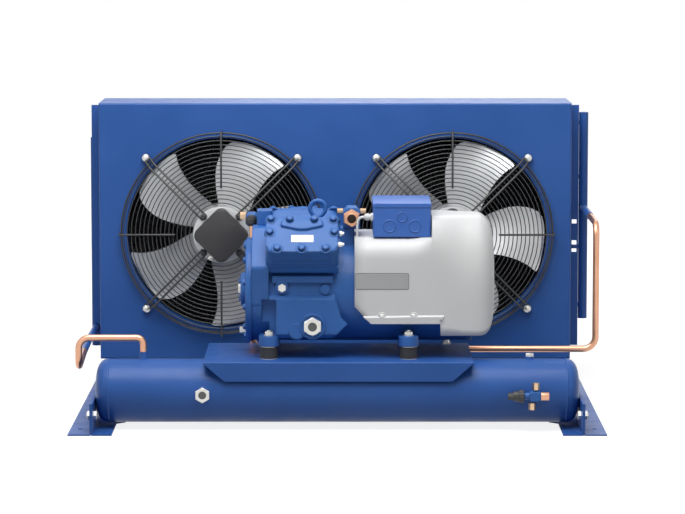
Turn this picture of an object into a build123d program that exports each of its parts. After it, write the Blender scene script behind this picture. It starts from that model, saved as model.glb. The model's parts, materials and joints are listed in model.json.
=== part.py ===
from build123d import *
import os
from math import cos, pi, radians, sin, sqrt, tan

# Air-cooled refrigeration condensing unit, in millimetres.
# +X runs to the right along the liquid receiver, +Y to the back, where the condenser stands, +Z up.
# The origin is on the floor, at the centre of the four fixing holes in the base rails.

# ---------------------------------------------------------------- driving dimensions
# Base rails: two pressed angles that run from front to back.
RAIL_LENGTH = 900.0
RAIL_HEIGHT = 70.0
RAIL_INNER = 537.0          # from the middle to the inner face of each upright web
RAIL_FOOT = 51.0            # width of the foot flange, web included
SHEET = 3.0                 # steel sheet of the frame
BEND = 2.0                  # inner bend radius of folded sheet
FLOOR_HOLE_X = 566.0
FLOOR_HOLE_Y = RAIL_LENGTH / 2 - 77.0
FLOOR_HOLE_R = 5.5

# Brackets that carry the receiver between the rails.
FOOT_BRACKET_LENGTH = 248.0
FOOT_BRACKET_NARROW = 45.0
FOOT_BRACKET_WIDE = 64.0
FOOT_SLOT_X = 514.6
FOOT_SLOT_LENGTH = 20.0
FOOT_SLOT_R = 4.5
BOLT_Z = 38.0
FRAME_BOLT_R = 6.0
BOLT_CLEARANCE = 0.5

# Liquid receiver: a welded tank that lies across the front.
TANK_R = 70.0
TANK_WALL = 4.0
TANK_Y = -326.0
TANK_Z = 82.0
FOOT_SLOT_Y = TANK_Y - 85.0
FOOT_BOLT_YS = (TANK_Y - 74.0, TANK_Y + 76.0)
TANK_HEAD = 24.0            # depth of each dished end
TANK_FLAT_R = 16.0
TANK_DISH = ((0.42, 0.9), (0.82, 0.58))
INLET_X = -428.6
INLET_TOP = 168.5
INLET_R = 9.0
PLUG_X = 425.0
PLUG_STUB_TOP = 158.0
PLUG_STUB_R = 10.0
PLUG_HEAD = 7.0
SIGHT_X = -296.0
SIGHT_R = 8.75
SIGHT_FLATS = 30.0
SIGHT_DEPTH = 6.0
SIGHT_BOSS = 2.0
LENS_DEPTH = 3.5

# Outlet valve on the front of the tank.
VALVE_X = 432.5
VALVE_BODY = 25.0           # along X
VALVE_TALL = 21.0
VALVE_DEEP = 24.0
VALVE_STANDOFF = 8.0
VALVE_NECK = 12.0
VALVE_TUBE_R = 9.0
VALVE_TUBE_BORE = 8.0
VALVE_TUBE_LENGTH = 18.0
PORT_FLATS = 14.0
PORT_LENGTH = 15.0
PORT_NECK_R = 5.0
PORT_NECK = 4.0

# Base plate: a folded tray that sits on the tank and on the cross beam.
PLATE_X = (-294.0, 298.0)
PLATE_Y = (-401.0, -85.0)
PLATE_TOP = TANK_Z + TANK_R + SHEET
PLATE_FLANGE = 43.0
PLATE_CORNER = 46.0
BEAM_DEPTH = 40.0
BEAM_HEIGHT = 90.0

# Compressor mounts.
MOUNT_XS = (-151.0, 157.0)
MOUNT_YS = (-338.0, -114.0)
MOUNT_R = 20.0
MOUNT_HEIGHT = 28.0
LUG_THICK = 23.0
MOUNT_BOLT_R = 5.0
MOUNT_BOLT_FLATS = 17.0
MOUNT_BOLT_HEAD = 7.0
WASHER_R = 12.0
BOLT_POCKET = 16.0           # half width of the pocket above each foot
BOLT_POCKET_TALL = 80.0
WASHER_THICK = 2.5

# Compressor: four cylinders in a vee over one crankshaft, with its motor in the same housing.
CRANK_Y = -226.0
CRANK_Z = 295.0
BARREL_R = 113.0
BARREL_X = (-189.0, 300.0)
CRANK_ROOM_R = 88.0
MOTOR_ROOM_R = 100.0
PARTITION_X = (5.0, 25.0)
MOTOR_END_WALL = 12.0
END_WALL_X = -151.0         # right side of the tall end wall
END_WALL_TOP = 438.0
BANK_ANGLE = 45.0
DECK = 141.0                # from the crank axis to the face that takes the valve plate
DECK_THICK = 19.0
BANK_X = (-157.6, 2.4)
BANK_HALF = 50.0
BANK_NECK = 8.0             # how far the cylinder block stands in from the deck
VALVE_PLATE = 8.0
HEAD_THICK = 46.0
HEAD_CORNER = 14.0
HEAD_EDGE = 5.0
DOME_RISE = 6.0
CYLINDER_XS = (-118.0, -38.0)
CYLINDER_R = 27.5
HEAD_BOLT_FLATS = 13.0
HEAD_BOLT_HEIGHT = 7.0
END_COVER_THICK = 14.0
END_COVER_R = 116.0
END_BOLT_COUNT = 12
END_BOLT_PCR = 104.0
END_BOLT_FLATS = 13.0
END_BOLT_HEIGHT = 6.0
BEARING_COVER_R = 38.0
BEARING_COVER_THICK = 13.0
BEARING_ROOM_R = 25.0
BEARING_LENGTH = 24.0
SHAFT_R = 20.0
RUNNING = 0.05              # radial running clearance of every shaft
CRANK_THROW = 25.0
CRANK_PIN_R = 22.0
CRANK_PIN = 44.0
WEB_HALF = 26.0
COUNTERWEIGHT = 48.0
WEB_THICK = 10.0
ROTOR_R = 58.0
ROTOR_X = (66.0, 236.0)
AIR_GAP = 0.6
WINDING = 20.0
SUMP_X = (-150.0, -6.0)
SUMP_Z = (200.0, 297.0)
SUMP_PROUD = 11.0
LEDGE_X = (-144.0, -10.0)
LEDGE_Z = (323.0, 338.5)
LEDGE_PROUD = 6.0
OIL_X = -54.8
OIL_Z = 227.5
OIL_BOSS_R = 28.0
OIL_FLATS = 37.0
OIL_R = 10.0
OIL_DEPTH = 8.0
LOBE_X = -89.5
LOBE_Z = 208.4
LOBE_R = 18.0
PLUG_FLATS = 16.0
EYE_X = -44.0
EYE_Z = 477.0
EYE_R = 17.0
EYE_WIRE = 5.0
EYE_SIDES = 24
EYE_BOSS_R = 16.0
EYE_BOSS_TOP = 436.0

# Suction valve, between the front bank and the terminal box.
SUCTION_X = 31.6
SUCTION_Z = 461.0
SUCTION_Y = (-278.0, -214.0)
SUCTION_WIDE = 38.0
SUCTION_TOP = 483.0
SUCTION_PAD_TOP = 438.0
SUCTION_NUT_FLATS = 35.0
SUCTION_NUT_DEPTH = 22.0
SUCTION_TUBE_R = 11.0
SUCTION_BORE_R = 10.0
SUCTION_TUBE = 6.0
CAP_R = 5.5
CAP_LENGTH = 13.0
CAP_Z = 472.5

# Discharge valve, on top of the tall end wall.
DISCHARGE_X = -194.0
DISCHARGE_Y = (-172.0, -100.0)
DISCHARGE_Z = 445.0
DISCHARGE_HALF = 13.0
DISCHARGE_FLANGE_X = (-180.0, -146.0)
DISCHARGE_FLANGE_Y = (-220.0, -160.0)
DISCHARGE_FLANGE_TOP = 471.0
STEM_CAP_R = 12.5
STEM_CAP_LENGTH = 24.0
SERVICE_FLATS = 15.0
SERVICE_LENGTH = 13.0
SERVICE_Z = 456.0

# Terminal box and its cable.
BOX_X = (79.0, 206.0)
BOX_Y = (-326.0, -126.0)
BOX_Z = (423.0, 497.0)
BOX_SEAM = 488.0
BOX_WALL = 3.0
KNOCKOUTS = ((115.0, 447.0, 13.0), (143.0, 467.0, 10.5), (171.0, 447.0, 13.0))
KNOCKOUT_DEPTH = 1.2
PEDESTAL_X = (100.0, 185.0)
PEDESTAL_Y = (-262.0, -190.0)
GLAND_Y = -312.0
GLAND_Z = 466.0
GLAND_R = 8.0
GLAND_LENGTH = 20.0
CABLE_R = 3.0
CABLE_ENTRY_X = 43.5
CABLE_BEND = 16.0

# Motor cover: a moulded shroud round the motor end.
COVER_X = (38.0, 347.0)
COVER_HALF = 125.0          # from the crank axis to the front and back faces
COVER_LOW_TOP = 422.0
COVER_HIGH_TOP = 467.0
COVER_STEP_X = 207.0
COVER_BASE = 233.0
COVER_TAIL = 207.0
COVER_TAIL_X = 227.0
COVER_CUT = 36.0
COVER_WALL = 4.0
COVER_EDGE = 40.0
COVER_SCREW_XS = (98.0, 168.0)
COVER_SCREW_Z = 250.0
SCREW_R = 4.5

# Condenser: coil block in its cowl.
COWL_MID = -6.0
COWL_HALF = 560.0
COWL_Y = (226.0, 435.0)
COWL_Z = (74.0, 684.0)
COWL_SHEET = 1.5
COWL_BEND = 4.0
FAN_MID = -2.0
FAN_SPACING = 546.0
FAN_Z = 375.5
OPENING_R = 226.5
BELLMOUTH = 38.0
COIL_Y = (346.0, 435.0)
COIL_Z = (91.0, 673.0)
COIL_PLATE = 2.0
COIL_FLANGE = 26.0
FIN_COUNT = 25
FIN_SHARE = 0.45
FIN_DEPTH = 14.0
FLANGE_HOLES = ((386.8, 396.5), (334.9, 345.8), (318.0, 327.6))
FLANGE_HOLE_OUT = (10.5, 22.0)      # outward from the side of the cowl
PIPE_NOTCH_R = 11.0
BRACKET_Y = (240.0, 430.0)
BRACKET_FLANGE = 48.0

# Copper pipes and headers.
PIPE_R = 7.5
HIDDEN_SIDES = 24           # flats of the round rooms and cores that the castings close in
PIPE_SIDES = 8
BEND_R = 24.0
INLET_BEND_R = 16.0
GAS_BEND_R = 28.0
HEADER_R = 11.0
GAS_X = COWL_MID + COWL_HALF + 38.0
GAS_Y = 356.0
GAS_Z = (156.0, 655.0)
GAS_ENTRY_Z = 425.0
DISCHARGE_RUN_Y = -54.0
DISCHARGE_RUN_Z = 137.0
LIQUID_X = COWL_MID - COWL_HALF - 20.0
LIQUID_Y = 376.0
LIQUID_Z = (87.0, 593.0)
LIQUID_LOW_Z = 134.0
LIQUID_HIGH_Z = 199.0
LIQUID_FRONT_X = -RAIL_INNER - 35.0
LIQUID_SWEEP_R = 200.0
LIQUID_STUBS = (190.0, 330.0, 470.0, 570.0)
GAS_STUBS = (190.0, 330.0, 500.0, 630.0)
STUB_R = 5.0
SOCKET_FIT = 0.05
SOCKET_DEPTH = 12.0
CLIP_X = 249.0
CLIP_WIDTH = 18.0

# Fans: external-rotor motors hung in wire guards.
PANEL_Y = COWL_Y[0]
GUARD_RING_Y = PANEL_Y - 39.5
WIRE = 2.5
ROD_FLATS = 5.0
OUTER_RING_R = 239.5
OUTER_RING_Y = PANEL_Y - 10.0
GUARD_RINGS = (76.0, 125.0, 175.0, 225.0)
RING_SIDES = 16
CUP_SIDES = 32
RING_SEAT = 0.7             # the spoke ends this far in front of the edge ring
SPOKE_R = (111.0, 236.0)
ARM_R = (56.0, 228.0)
ARM_FOOT_R = 254.0
ARM_HALF_GAP = 7.0
KNOB_R = 10.0
KNOB_THICK = 8.0
MOTOR_FLANGE_R = 67.0
MOTOR_FLANGE = 5.5
MOTOR_CORE_R = 57.0
MOTOR_CORE = 62.0
MOTOR_CAP_SIDE = 100.0
MOTOR_CAP_CORNER = 18.0
MOTOR_CAP_DEPTH = 28.0
FAN_SHAFT_R = 6.0
CUP_R = 68.0
CUP_WALL = 5.0
CUP_GAP = 4.0
BLADES = 5
BLADE_TIP_R = 221.0
BLADE_THICK = 3.0
BLADE_Y = PANEL_Y + 2.0
BLADE_SECTIONS = (          # radius, leading and trailing edge in degrees, pitch
    (CUP_R - 3.0, 97.0, 31.0, 30.0), (104.0, 98.0, 45.0, 26.0), (146.0, 96.0, 50.0, 22.0),
    (186.0, 91.0, 50.0, 18.0), (BLADE_TIP_R + 14.0, 81.5, 46.0, 15.0))

os.makedirs("parts", exist_ok=True)


# ---------------------------------------------------------------- shapes used all over
def block(xs, ys, zs):
    """A box between two limits on each axis."""
    middle = Pos((xs[0] + xs[1]) / 2, (ys[0] + ys[1]) / 2, (zs[0] + zs[1]) / 2)
    return middle * Box(abs(xs[1] - xs[0]), abs(ys[1] - ys[0]), abs(zs[1] - zs[0]))


def between(start, end):
    """The plane at start whose normal points to end, and the distance."""
    start, end = Vector(*start), Vector(*end)
    along = end - start
    across = Vector(0, 0, 1) if abs(along.normalized().Z) < 0.9 else Vector(1, 0, 0)
    return Plane(start, x_dir=across.cross(along), z_dir=along), along.length


def rod(start, end, radius, sides=0):
    """A round bar; small or repeated ones get a number of flat sides instead."""
    plane, length = between(start, end)
    return extrude(plane * (RegularPolygon(radius, sides) if sides else Circle(radius)), length)


def tube(start, end, outer, inner):
    plane, length = between(start, end)
    return extrude(plane * (Circle(outer) - Circle(inner)), length)


def hexagon(start, end, flats):
    plane, length = between(start, end)
    return extrude(plane * Rot(0, 0, 30) * RegularPolygon(flats / sqrt(3), 6), length)


def pipe(points, radii, radius, sides=PIPE_SIDES):
    """A bent tube, solid inside, along straight runs joined by arcs."""
    path = FilletPolyline(*points, radius=radii)
    plane, _ = between(points[0], points[1])
    return sweep(plane * RegularPolygon(radius, sides), path=path)


def faceted(rows):
    """A solid with flat panels between outlines that all have the same number of corners."""
    faces = [Face(Wire.make_polygon(row)) for row in (rows[0], rows[-1])]
    for low, high in zip(rows, rows[1:]):
        for this in range(len(low)):
            after = (this + 1) % len(low)
            faces.append(Face(Wire.make_polygon([low[this], low[after], high[after]])))
            faces.append(Face(Wire.make_polygon([low[this], high[after], high[this]])))
    return Solid(Shell(faces))


def profile(points, along, limits):
    """A closed outline extruded between two limits on one axis."""
    if along == "X":
        plane = Plane.YZ.offset(limits[0])
    elif along == "Y":
        plane = Plane.XZ.offset(-limits[1])
    else:
        plane = Plane.XY.offset(limits[0])
    return extrude(plane * make_face(Polyline(*points, close=True)), limits[1] - limits[0])


def mirrored(points, side):
    return [(side * across, up) for across, up in points]


def save(shape, node):
    """Write one node. Groups of like pieces stay separate solids."""
    if isinstance(shape, (list, tuple)):
        shape = Compound(children=[solid for piece in shape for solid in piece.solids()])
    export_step(shape, f"parts/{node}.step")


# ---------------------------------------------------------------- frame
RAIL_OUTER = RAIL_INNER + SHEET
BRACKET_INNER = RAIL_INNER - SHEET
FRONT = -RAIL_LENGTH / 2
FOOT_FRONT = TANK_Y - FOOT_BRACKET_LENGTH / 2
FOOT_BACK = TANK_Y + FOOT_BRACKET_LENGTH / 2


def angle_profile(inner, outer, foot_end, height, side):
    """An L section with a bent corner: upright web from inner to outer, foot out to foot_end."""
    step = 1 if foot_end > inner else -1
    heel, face = (inner, outer) if step > 0 else (outer, inner)
    points = [(heel, 0), (foot_end, 0), (foot_end, SHEET), (face, SHEET), (face, height), (heel, height)]
    return mirrored(points, side)


def rail(side):
    body = profile(angle_profile(RAIL_INNER, RAIL_OUTER, RAIL_INNER + RAIL_FOOT, RAIL_HEIGHT, side),
                   "Y", (FRONT, -FRONT))
    body = fillet(body.edges().filter_by(Axis.Y).filter_by_position(Axis.Z, 0, 0.1).sort_by(Axis.X)
                  [0 if side > 0 else -1], BEND + SHEET / 2)
    for y in (-FLOOR_HOLE_Y, FLOOR_HOLE_Y):
        body -= rod((side * FLOOR_HOLE_X, y, -1), (side * FLOOR_HOLE_X, y, SHEET + 1), FLOOR_HOLE_R)
    for y in FOOT_BOLT_YS:
        body -= rod((side * (RAIL_INNER - 1), y, BOLT_Z), (side * (RAIL_OUTER + 1), y, BOLT_Z),
                    FRAME_BOLT_R + BOLT_CLEARANCE)
    return body


def receiver_foot(side):
    """Angle with a stepped foot flange; the tank's end is welded to its web."""
    web = block((side * BRACKET_INNER, side * RAIL_INNER), (FOOT_FRONT, FOOT_BACK), (0, RAIL_HEIGHT))
    narrow, wide = RAIL_INNER - FOOT_BRACKET_NARROW, RAIL_INNER - FOOT_BRACKET_WIDE
    step = FOOT_FRONT + FOOT_BRACKET_LENGTH * 2 / 3
    foot = profile([(side * RAIL_INNER, FOOT_FRONT), (side * narrow, FOOT_FRONT), (side * narrow, step),
                    (side * wide, step + (FOOT_BRACKET_WIDE - FOOT_BRACKET_NARROW)),
                    (side * wide, FOOT_BACK), (side * RAIL_INNER, FOOT_BACK)], "Z", (0, SHEET))
    body = web + foot
    slot = Pos(side * FOOT_SLOT_X, FOOT_SLOT_Y, -1) * extrude(
        SlotOverall(FOOT_SLOT_LENGTH, 2 * FOOT_SLOT_R), SHEET + 2)
    body -= slot
    for y in FOOT_BOLT_YS:
        body -= rod((side * (BRACKET_INNER - 1), y, BOLT_Z), (side * (RAIL_INNER + 1), y, BOLT_Z),
                    FRAME_BOLT_R + BOLT_CLEARANCE)
    return body


def condenser_bracket(side):
    """Angle welded inside the rail; the cowl stands on its top flange."""
    top = COWL_Z[0]
    web = block((side * BRACKET_INNER, side * RAIL_INNER), BRACKET_Y, (8, top))
    flange = block((side * (RAIL_INNER - BRACKET_FLANGE), side * RAIL_INNER), BRACKET_Y, (top - SHEET, top))
    return web + flange


def frame_bolt(side, y):
    """Bolt through bracket and rail, head inside and nut outside."""
    at = lambda x: (side * x, y, BOLT_Z)
    head = hexagon(at(BRACKET_INNER - 8), at(BRACKET_INNER), 3 * FRAME_BOLT_R)
    shank = rod(at(BRACKET_INNER - 4), at(RAIL_OUTER + 10), FRAME_BOLT_R, 6)
    nut = hexagon(at(RAIL_OUTER), at(RAIL_OUTER + 8), 3 * FRAME_BOLT_R)
    return head + shank + nut


BEAM_TOP = PLATE_TOP - PLATE_FLANGE
BEAM_Y = (PLATE_Y[1] - SHEET / 2 - BEAM_DEPTH / 2, PLATE_Y[1] - SHEET / 2 + BEAM_DEPTH / 2)


def cross_beam():
    """Channel between the rails; the back flange of the base plate stands on it."""
    ends = (-RAIL_INNER, RAIL_INNER)
    outer = block(ends, BEAM_Y, (BEAM_TOP - BEAM_HEIGHT, BEAM_TOP))
    return outer - block(ends, (BEAM_Y[0] - 1, BEAM_Y[1] - SHEET),
                         (BEAM_TOP - BEAM_HEIGHT + SHEET, BEAM_TOP - SHEET))


save(rail(-1), "rail_left")
save(rail(1), "rail_right")
save(receiver_foot(-1), "receiver_foot_left")
save(receiver_foot(1), "receiver_foot_right")
save([condenser_bracket(-1), condenser_bracket(1)], "condenser_brackets")
save([frame_bolt(side, y) for side in (-1, 1) for y in FOOT_BOLT_YS], "frame_bolts")
save(cross_beam(), "cross_beam")

# ---------------------------------------------------------------- liquid receiver
TANK_FRONT = TANK_Y - TANK_R
TANK_TOP = TANK_Z + TANK_R
TANK_END = BRACKET_INNER
SIGHT_SEAT = TANK_FRONT - SIGHT_BOSS
VALVE_SEAT = TANK_FRONT - VALVE_STANDOFF


def tank_body(radius, end, head):
    """A tank with dished ends, turned about its axis; head gives the depth of each end."""
    knuckle = end - head
    half = [(knuckle, radius)] + [(knuckle + head * along, radius * up) for along, up in TANK_DISH]
    half += [(end, TANK_FLAT_R)]
    outline = [(-end, 0)] + [(-x, r) for x, r in reversed(half)] + half + [(end, 0)]
    section = make_face(Polyline(*outline, close=True))
    return Pos(0, TANK_Y, TANK_Z) * revolve(section, Axis.X)


def receiver_shell():
    outside = tank_body(TANK_R, TANK_END, TANK_HEAD)
    hollow_end = TANK_END - TANK_HEAD
    inside = rod((-hollow_end, TANK_Y, TANK_Z), (hollow_end, TANK_Y, TANK_Z), TANK_R - TANK_WALL,
                 HIDDEN_SIDES)
    root = TANK_TOP - TANK_WALL
    outside += rod((INLET_X, TANK_Y, root), (INLET_X, TANK_Y, INLET_TOP), INLET_R)
    outside += rod((PLUG_X, TANK_Y, root), (PLUG_X, TANK_Y, PLUG_STUB_TOP), PLUG_STUB_R, 12)
    outside += rod((SIGHT_X, TANK_FRONT + TANK_WALL, TANK_Z), (SIGHT_X, SIGHT_SEAT, TANK_Z),
                   SIGHT_FLATS / 2 + 2, 16)
    outside += rod((VALVE_X, TANK_FRONT + TANK_WALL, TANK_Z), (VALVE_X, VALVE_SEAT, TANK_Z), 10, 12)
    shell = outside - inside
    shell -= rod((INLET_X, TANK_Y, root - 2), (INLET_X, TANK_Y, INLET_TOP + 1), PIPE_R - 2)
    shell -= rod((INLET_X, TANK_Y, INLET_TOP - SOCKET_DEPTH), (INLET_X, TANK_Y, INLET_TOP + 1),
                 PIPE_R + SOCKET_FIT)
    return shell


def sight_glass_ring():
    ring = hexagon((SIGHT_X, SIGHT_SEAT, TANK_Z), (SIGHT_X, SIGHT_SEAT - SIGHT_DEPTH, TANK_Z), SIGHT_FLATS)
    return ring - rod((SIGHT_X, SIGHT_SEAT + 1, TANK_Z), (SIGHT_X, SIGHT_SEAT - SIGHT_DEPTH - 1, TANK_Z),
                      SIGHT_R)


def oil_glass_ring():
    ring = hexagon((OIL_X, OIL_SEAT, OIL_Z), (OIL_X, OIL_SEAT - OIL_DEPTH, OIL_Z), OIL_FLATS)
    return ring - rod((OIL_X, OIL_SEAT + 1, OIL_Z), (OIL_X, OIL_SEAT - OIL_DEPTH - 1, OIL_Z), OIL_R)


def valve_body():
    """Forged block with a stem neck to the left and two service ports."""
    half_x, half_z = VALVE_BODY / 2, VALVE_TALL / 2
    body = block((VALVE_X - half_x, VALVE_X + half_x), (VALVE_SEAT, VALVE_SEAT - VALVE_DEEP),
                 (TANK_Z - half_z, TANK_Z + half_z))
    body = chamfer(body.edges().filter_by(Axis.Y), 3)
    body += rod((VALVE_X - half_x + 1, VALVE_MID, TANK_Z), (VALVE_X - half_x - VALVE_NECK, VALVE_MID, TANK_Z),
                8, 12)
    for x, way in VALVE_PORTS:
        body += rod((x, VALVE_MID, TANK_Z + way * (half_z - 1)),
                    (x, VALVE_MID, TANK_Z + way * (half_z + PORT_NECK)), PORT_NECK_R, 8)
    return body


VALVE_MID = VALVE_SEAT - VALVE_DEEP / 2
VALVE_PORTS = ((VALVE_X + 1.5, 1), (VALVE_X - 6.5, -1))


def stem_cap(start, way, length, radius):
    """Moulded cap with a grip ring, a waist and a nose, along one axis from its seat."""
    start, step = Vector(*start), Vector(*way) * (length / 3)
    cap = rod(tuple(start), tuple(start + step), radius, 12)
    cap += rod(tuple(start + step), tuple(start + step * 2), radius * 0.86, 12)
    return cap + rod(tuple(start + step * 2), tuple(start + step * 3), radius * 0.68, 12)


def port_cap(x, way):
    low = TANK_Z + way * (VALVE_TALL / 2 + PORT_NECK)
    return hexagon((x, VALVE_MID, low), (x, VALVE_MID, low + way * PORT_LENGTH), PORT_FLATS)


OIL_SEAT = CRANK_Y - BARREL_R - SUMP_PROUD - 4
NECK_END = VALVE_X - VALVE_BODY / 2 - VALVE_NECK
TUBE_START = VALVE_X + VALVE_BODY / 2

save(receiver_shell(), "receiver_shell")
save([hexagon((PLUG_X, TANK_Y, PLUG_STUB_TOP), (PLUG_X, TANK_Y, PLUG_STUB_TOP + PLUG_HEAD), PLUG_FLATS + 3)],
     "receiver_plug")
save(valve_body(), "receiver_valve_body")
save(stem_cap((NECK_END, VALVE_MID, TANK_Z), (-1, 0, 0), 35, 14), "receiver_valve_cap")

# ---------------------------------------------------------------- base plate and mounts
PLATE_UNDER = PLATE_TOP - SHEET


def base_plate():
    front, back = PLATE_Y
    left, right = PLATE_X
    low = PLATE_TOP - PLATE_FLANGE
    body = block(PLATE_X, PLATE_Y, (PLATE_UNDER, PLATE_TOP))
    skirt = [(left, PLATE_TOP), (left, PLATE_UNDER), (left + PLATE_CORNER, low),
             (right - PLATE_CORNER, low), (right, PLATE_UNDER), (right, PLATE_TOP)]
    body += profile(skirt, "Y", (front, front + SHEET))
    body += profile(skirt, "Y", (back - SHEET, back))
    for x in (left + PLATE_CORNER, right - PLATE_CORNER - SHEET):
        saddle = block((x, x + SHEET), (front + SHEET, back - SHEET), (low, PLATE_UNDER))
        body += saddle - rod((x - 1, TANK_Y, TANK_Z), (x + SHEET + 1, TANK_Y, TANK_Z), TANK_R)
    body = fillet(body.edges().filter_by(Axis.X).filter_by_position(Axis.Z, PLATE_TOP - 0.1, PLATE_TOP + 0.1),
                  SHEET * 0.9)
    return body


def rubber_mount(x, y):
    return rod((x, y, PLATE_TOP), (x, y, PLATE_TOP + MOUNT_HEIGHT), MOUNT_R, 24)


def mount_bolt(x, y):
    """Stud bonded to the rubber's top plate, with its washer and nut above the foot."""
    seat = LUG_TOP
    bolt = rod((x, y, seat), (x, y, seat + WASHER_THICK), WASHER_R, 16)
    bolt += hexagon((x, y, seat + WASHER_THICK), (x, y, seat + WASHER_THICK + MOUNT_BOLT_HEAD), MOUNT_BOLT_FLATS)
    return bolt + rod((x, y, PLATE_TOP + MOUNT_HEIGHT), (x, y, seat + 1), MOUNT_BOLT_R, 6)


LUG_BASE = PLATE_TOP + MOUNT_HEIGHT
LUG_TOP = LUG_BASE + LUG_THICK
MOUNT_POINTS = [(x, y) for x in MOUNT_XS for y in MOUNT_YS]

save(base_plate(), "base_plate")
save([rubber_mount(x, y) for x, y in MOUNT_POINTS], "rubber_mounts")
save([mount_bolt(x, y) for x, y in MOUNT_POINTS], "mount_bolts")

# ---------------------------------------------------------------- compressor
SUMP_FACE = BARREL_R + SUMP_PROUD


def on_bank(side, shape):
    """Stand a shape made on the crank axis, with +Z along the cylinders, on the front or back bank."""
    return Pos(0, CRANK_Y, CRANK_Z) * Rot(-side * BANK_ANGLE, 0, 0) * shape


def crank_rod(start, end, radius, sides=0):
    return rod((start, CRANK_Y, CRANK_Z), (end, CRANK_Y, CRANK_Z), radius, sides)


def bank(side):
    """Cylinder block with the flange that its valve plate and head bolt to."""
    low, high = BANK_X
    deck = block(BANK_X, (-BANK_HALF, BANK_HALF), (DECK - DECK_THICK, DECK))
    neck_half = BANK_HALF - BANK_NECK
    neck = block((low + BANK_NECK, high - BANK_NECK), (-neck_half, neck_half), (BARREL_R / 2, DECK - 1))
    return on_bank(side, deck + neck)


def end_wall():
    """Tall wall at the cover end, as wide as both banks, flat on top for the discharge valve."""
    reach = (DECK + BANK_HALF) / sqrt(2)
    shoulder = (DECK - BANK_HALF) / sqrt(2)
    top_half = reach + shoulder - (END_WALL_TOP - CRANK_Z)
    low = CRANK_Z - BARREL_R * 0.82
    half = [(top_half, END_WALL_TOP), (reach, CRANK_Z + shoulder), (BARREL_R, CRANK_Z - 20), (BARREL_R * 0.6, low)]
    points = [(CRANK_Y - across, z) for across, z in half] + [(CRANK_Y + across, z) for across, z in reversed(half)]
    wall = profile(points, "X", (BARREL_X[0], END_WALL_X))
    wall = fillet(wall.edges().filter_by(Axis.X).filter_by_position(Axis.Z, low - 1, CRANK_Z + shoulder + 1), 12)
    step = block((BARREL_X[0] - 1, DISCHARGE_FLANGE_X[0]), (DISCHARGE_Y[0] - STEM_CAP_LENGTH - 4, CRANK_Y + reach),
                 (DISCHARGE_Z - STEM_CAP_R - 4, END_WALL_TOP + 1))
    return wall - step


def lug(x, y):
    """Foot that the mount bolt clamps, joined to the barrel by a web."""
    inward = 1 if y < CRANK_Y else -1
    foot = rod((x, y, LUG_BASE), (x, y, LUG_TOP), MOUNT_R + 2)
    web = block((x - MOUNT_R, x + MOUNT_R), (y, CRANK_Y - inward * BARREL_R * 0.4), (LUG_BASE, LUG_TOP))
    return foot + web


def sump(side):
    """Faceted swelling of the crankcase that holds the oil."""
    left, right = SUMP_X
    low, high = SUMP_Z
    face = CRANK_Y + side * SUMP_FACE
    outline = [(left, high), (right, high), (right + 15, low + 45), (right + 28, low + 32), (right - 4, low),
               (left, low)]
    body = profile(outline, "Y", sorted((CRANK_Y + side * BARREL_R * 0.5, face)))
    edge = body.edges().filter_by(Axis.X).filter_by_position(Axis.Y, face - 0.1, face + 0.1)
    return chamfer(edge, SUMP_PROUD * 0.9)


def crankcase():
    body = crank_rod(BARREL_X[0], BARREL_X[1], BARREL_R) + end_wall()
    for side in (-1, 1):
        body += bank(side)
        body += sump(side)
        ledge_face = CRANK_Y + side * (BARREL_R + LEDGE_PROUD)
        body += block(LEDGE_X, sorted((CRANK_Y + side * BARREL_R * 0.5, ledge_face)), LEDGE_Z)
    for x, y in MOUNT_POINTS:
        body += lug(x, y)
    body += rod((OIL_X, CRANK_Y, OIL_Z), (OIL_X, OIL_SEAT, OIL_Z), OIL_BOSS_R)
    body += rod((LOBE_X, CRANK_Y, LOBE_Z + 8), (LOBE_X, OIL_SEAT + 2, LOBE_Z + 8), LOBE_R)
    for x, z, radius in PLUG_BOSSES:
        body += rod((x, CRANK_Y, z), (x, PLUG_SEAT, z), radius)
    body += rod((EYE_X, CRANK_Y, CRANK_Z + BARREL_R * 0.8), (EYE_X, CRANK_Y, EYE_BOSS_TOP), EYE_BOSS_R)
    body += block(PEDESTAL_X, PEDESTAL_Y, (CRANK_Z + BARREL_R * 0.8, BOX_Z[0]))
    body += block(SUCTION_PAD_X, (SUCTION_Y[0] + 4, SUCTION_Y[1]), (CRANK_Z + BARREL_R * 0.7, SUCTION_PAD_TOP))
    body -= crank_rod(BARREL_X[0] - 1, PARTITION_X[0], CRANK_ROOM_R, HIDDEN_SIDES)
    body -= crank_rod(PARTITION_X[1], BARREL_X[1] - MOTOR_END_WALL, MOTOR_ROOM_R, HIDDEN_SIDES)
    body -= crank_rod(PARTITION_X[0] - 1, PARTITION_X[1] + 1, BEARING_ROOM_R)
    for side in (-1, 1):
        for x in CYLINDER_XS:
            body -= on_bank(side, Pos(x, 0) * extrude(RegularPolygon(CYLINDER_R, HIDDEN_SIDES), DECK + 1))
    for x, y in MOUNT_POINTS:
        body -= rod((x, y, LUG_BASE - 1), (x, y, LUG_TOP + 1), MOUNT_BOLT_R + BOLT_CLEARANCE)
        outward = -1 if y < CRANK_Y else 1
        body -= block((x - BOLT_POCKET, x + BOLT_POCKET), sorted((y - outward * BOLT_POCKET, y + outward * 40)),
                      (LUG_TOP, LUG_TOP + BOLT_POCKET_TALL))
    return body


PLUG_SEAT = CRANK_Y - BARREL_R - LEDGE_PROUD
PLUG_BOSSES = ((-121.8, 312.6, 14.6), (-27.2, 308.6, 11.4))
SUCTION_PAD_X = (BANK_X[1] + 4, COVER_X[0] - 1)


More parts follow.
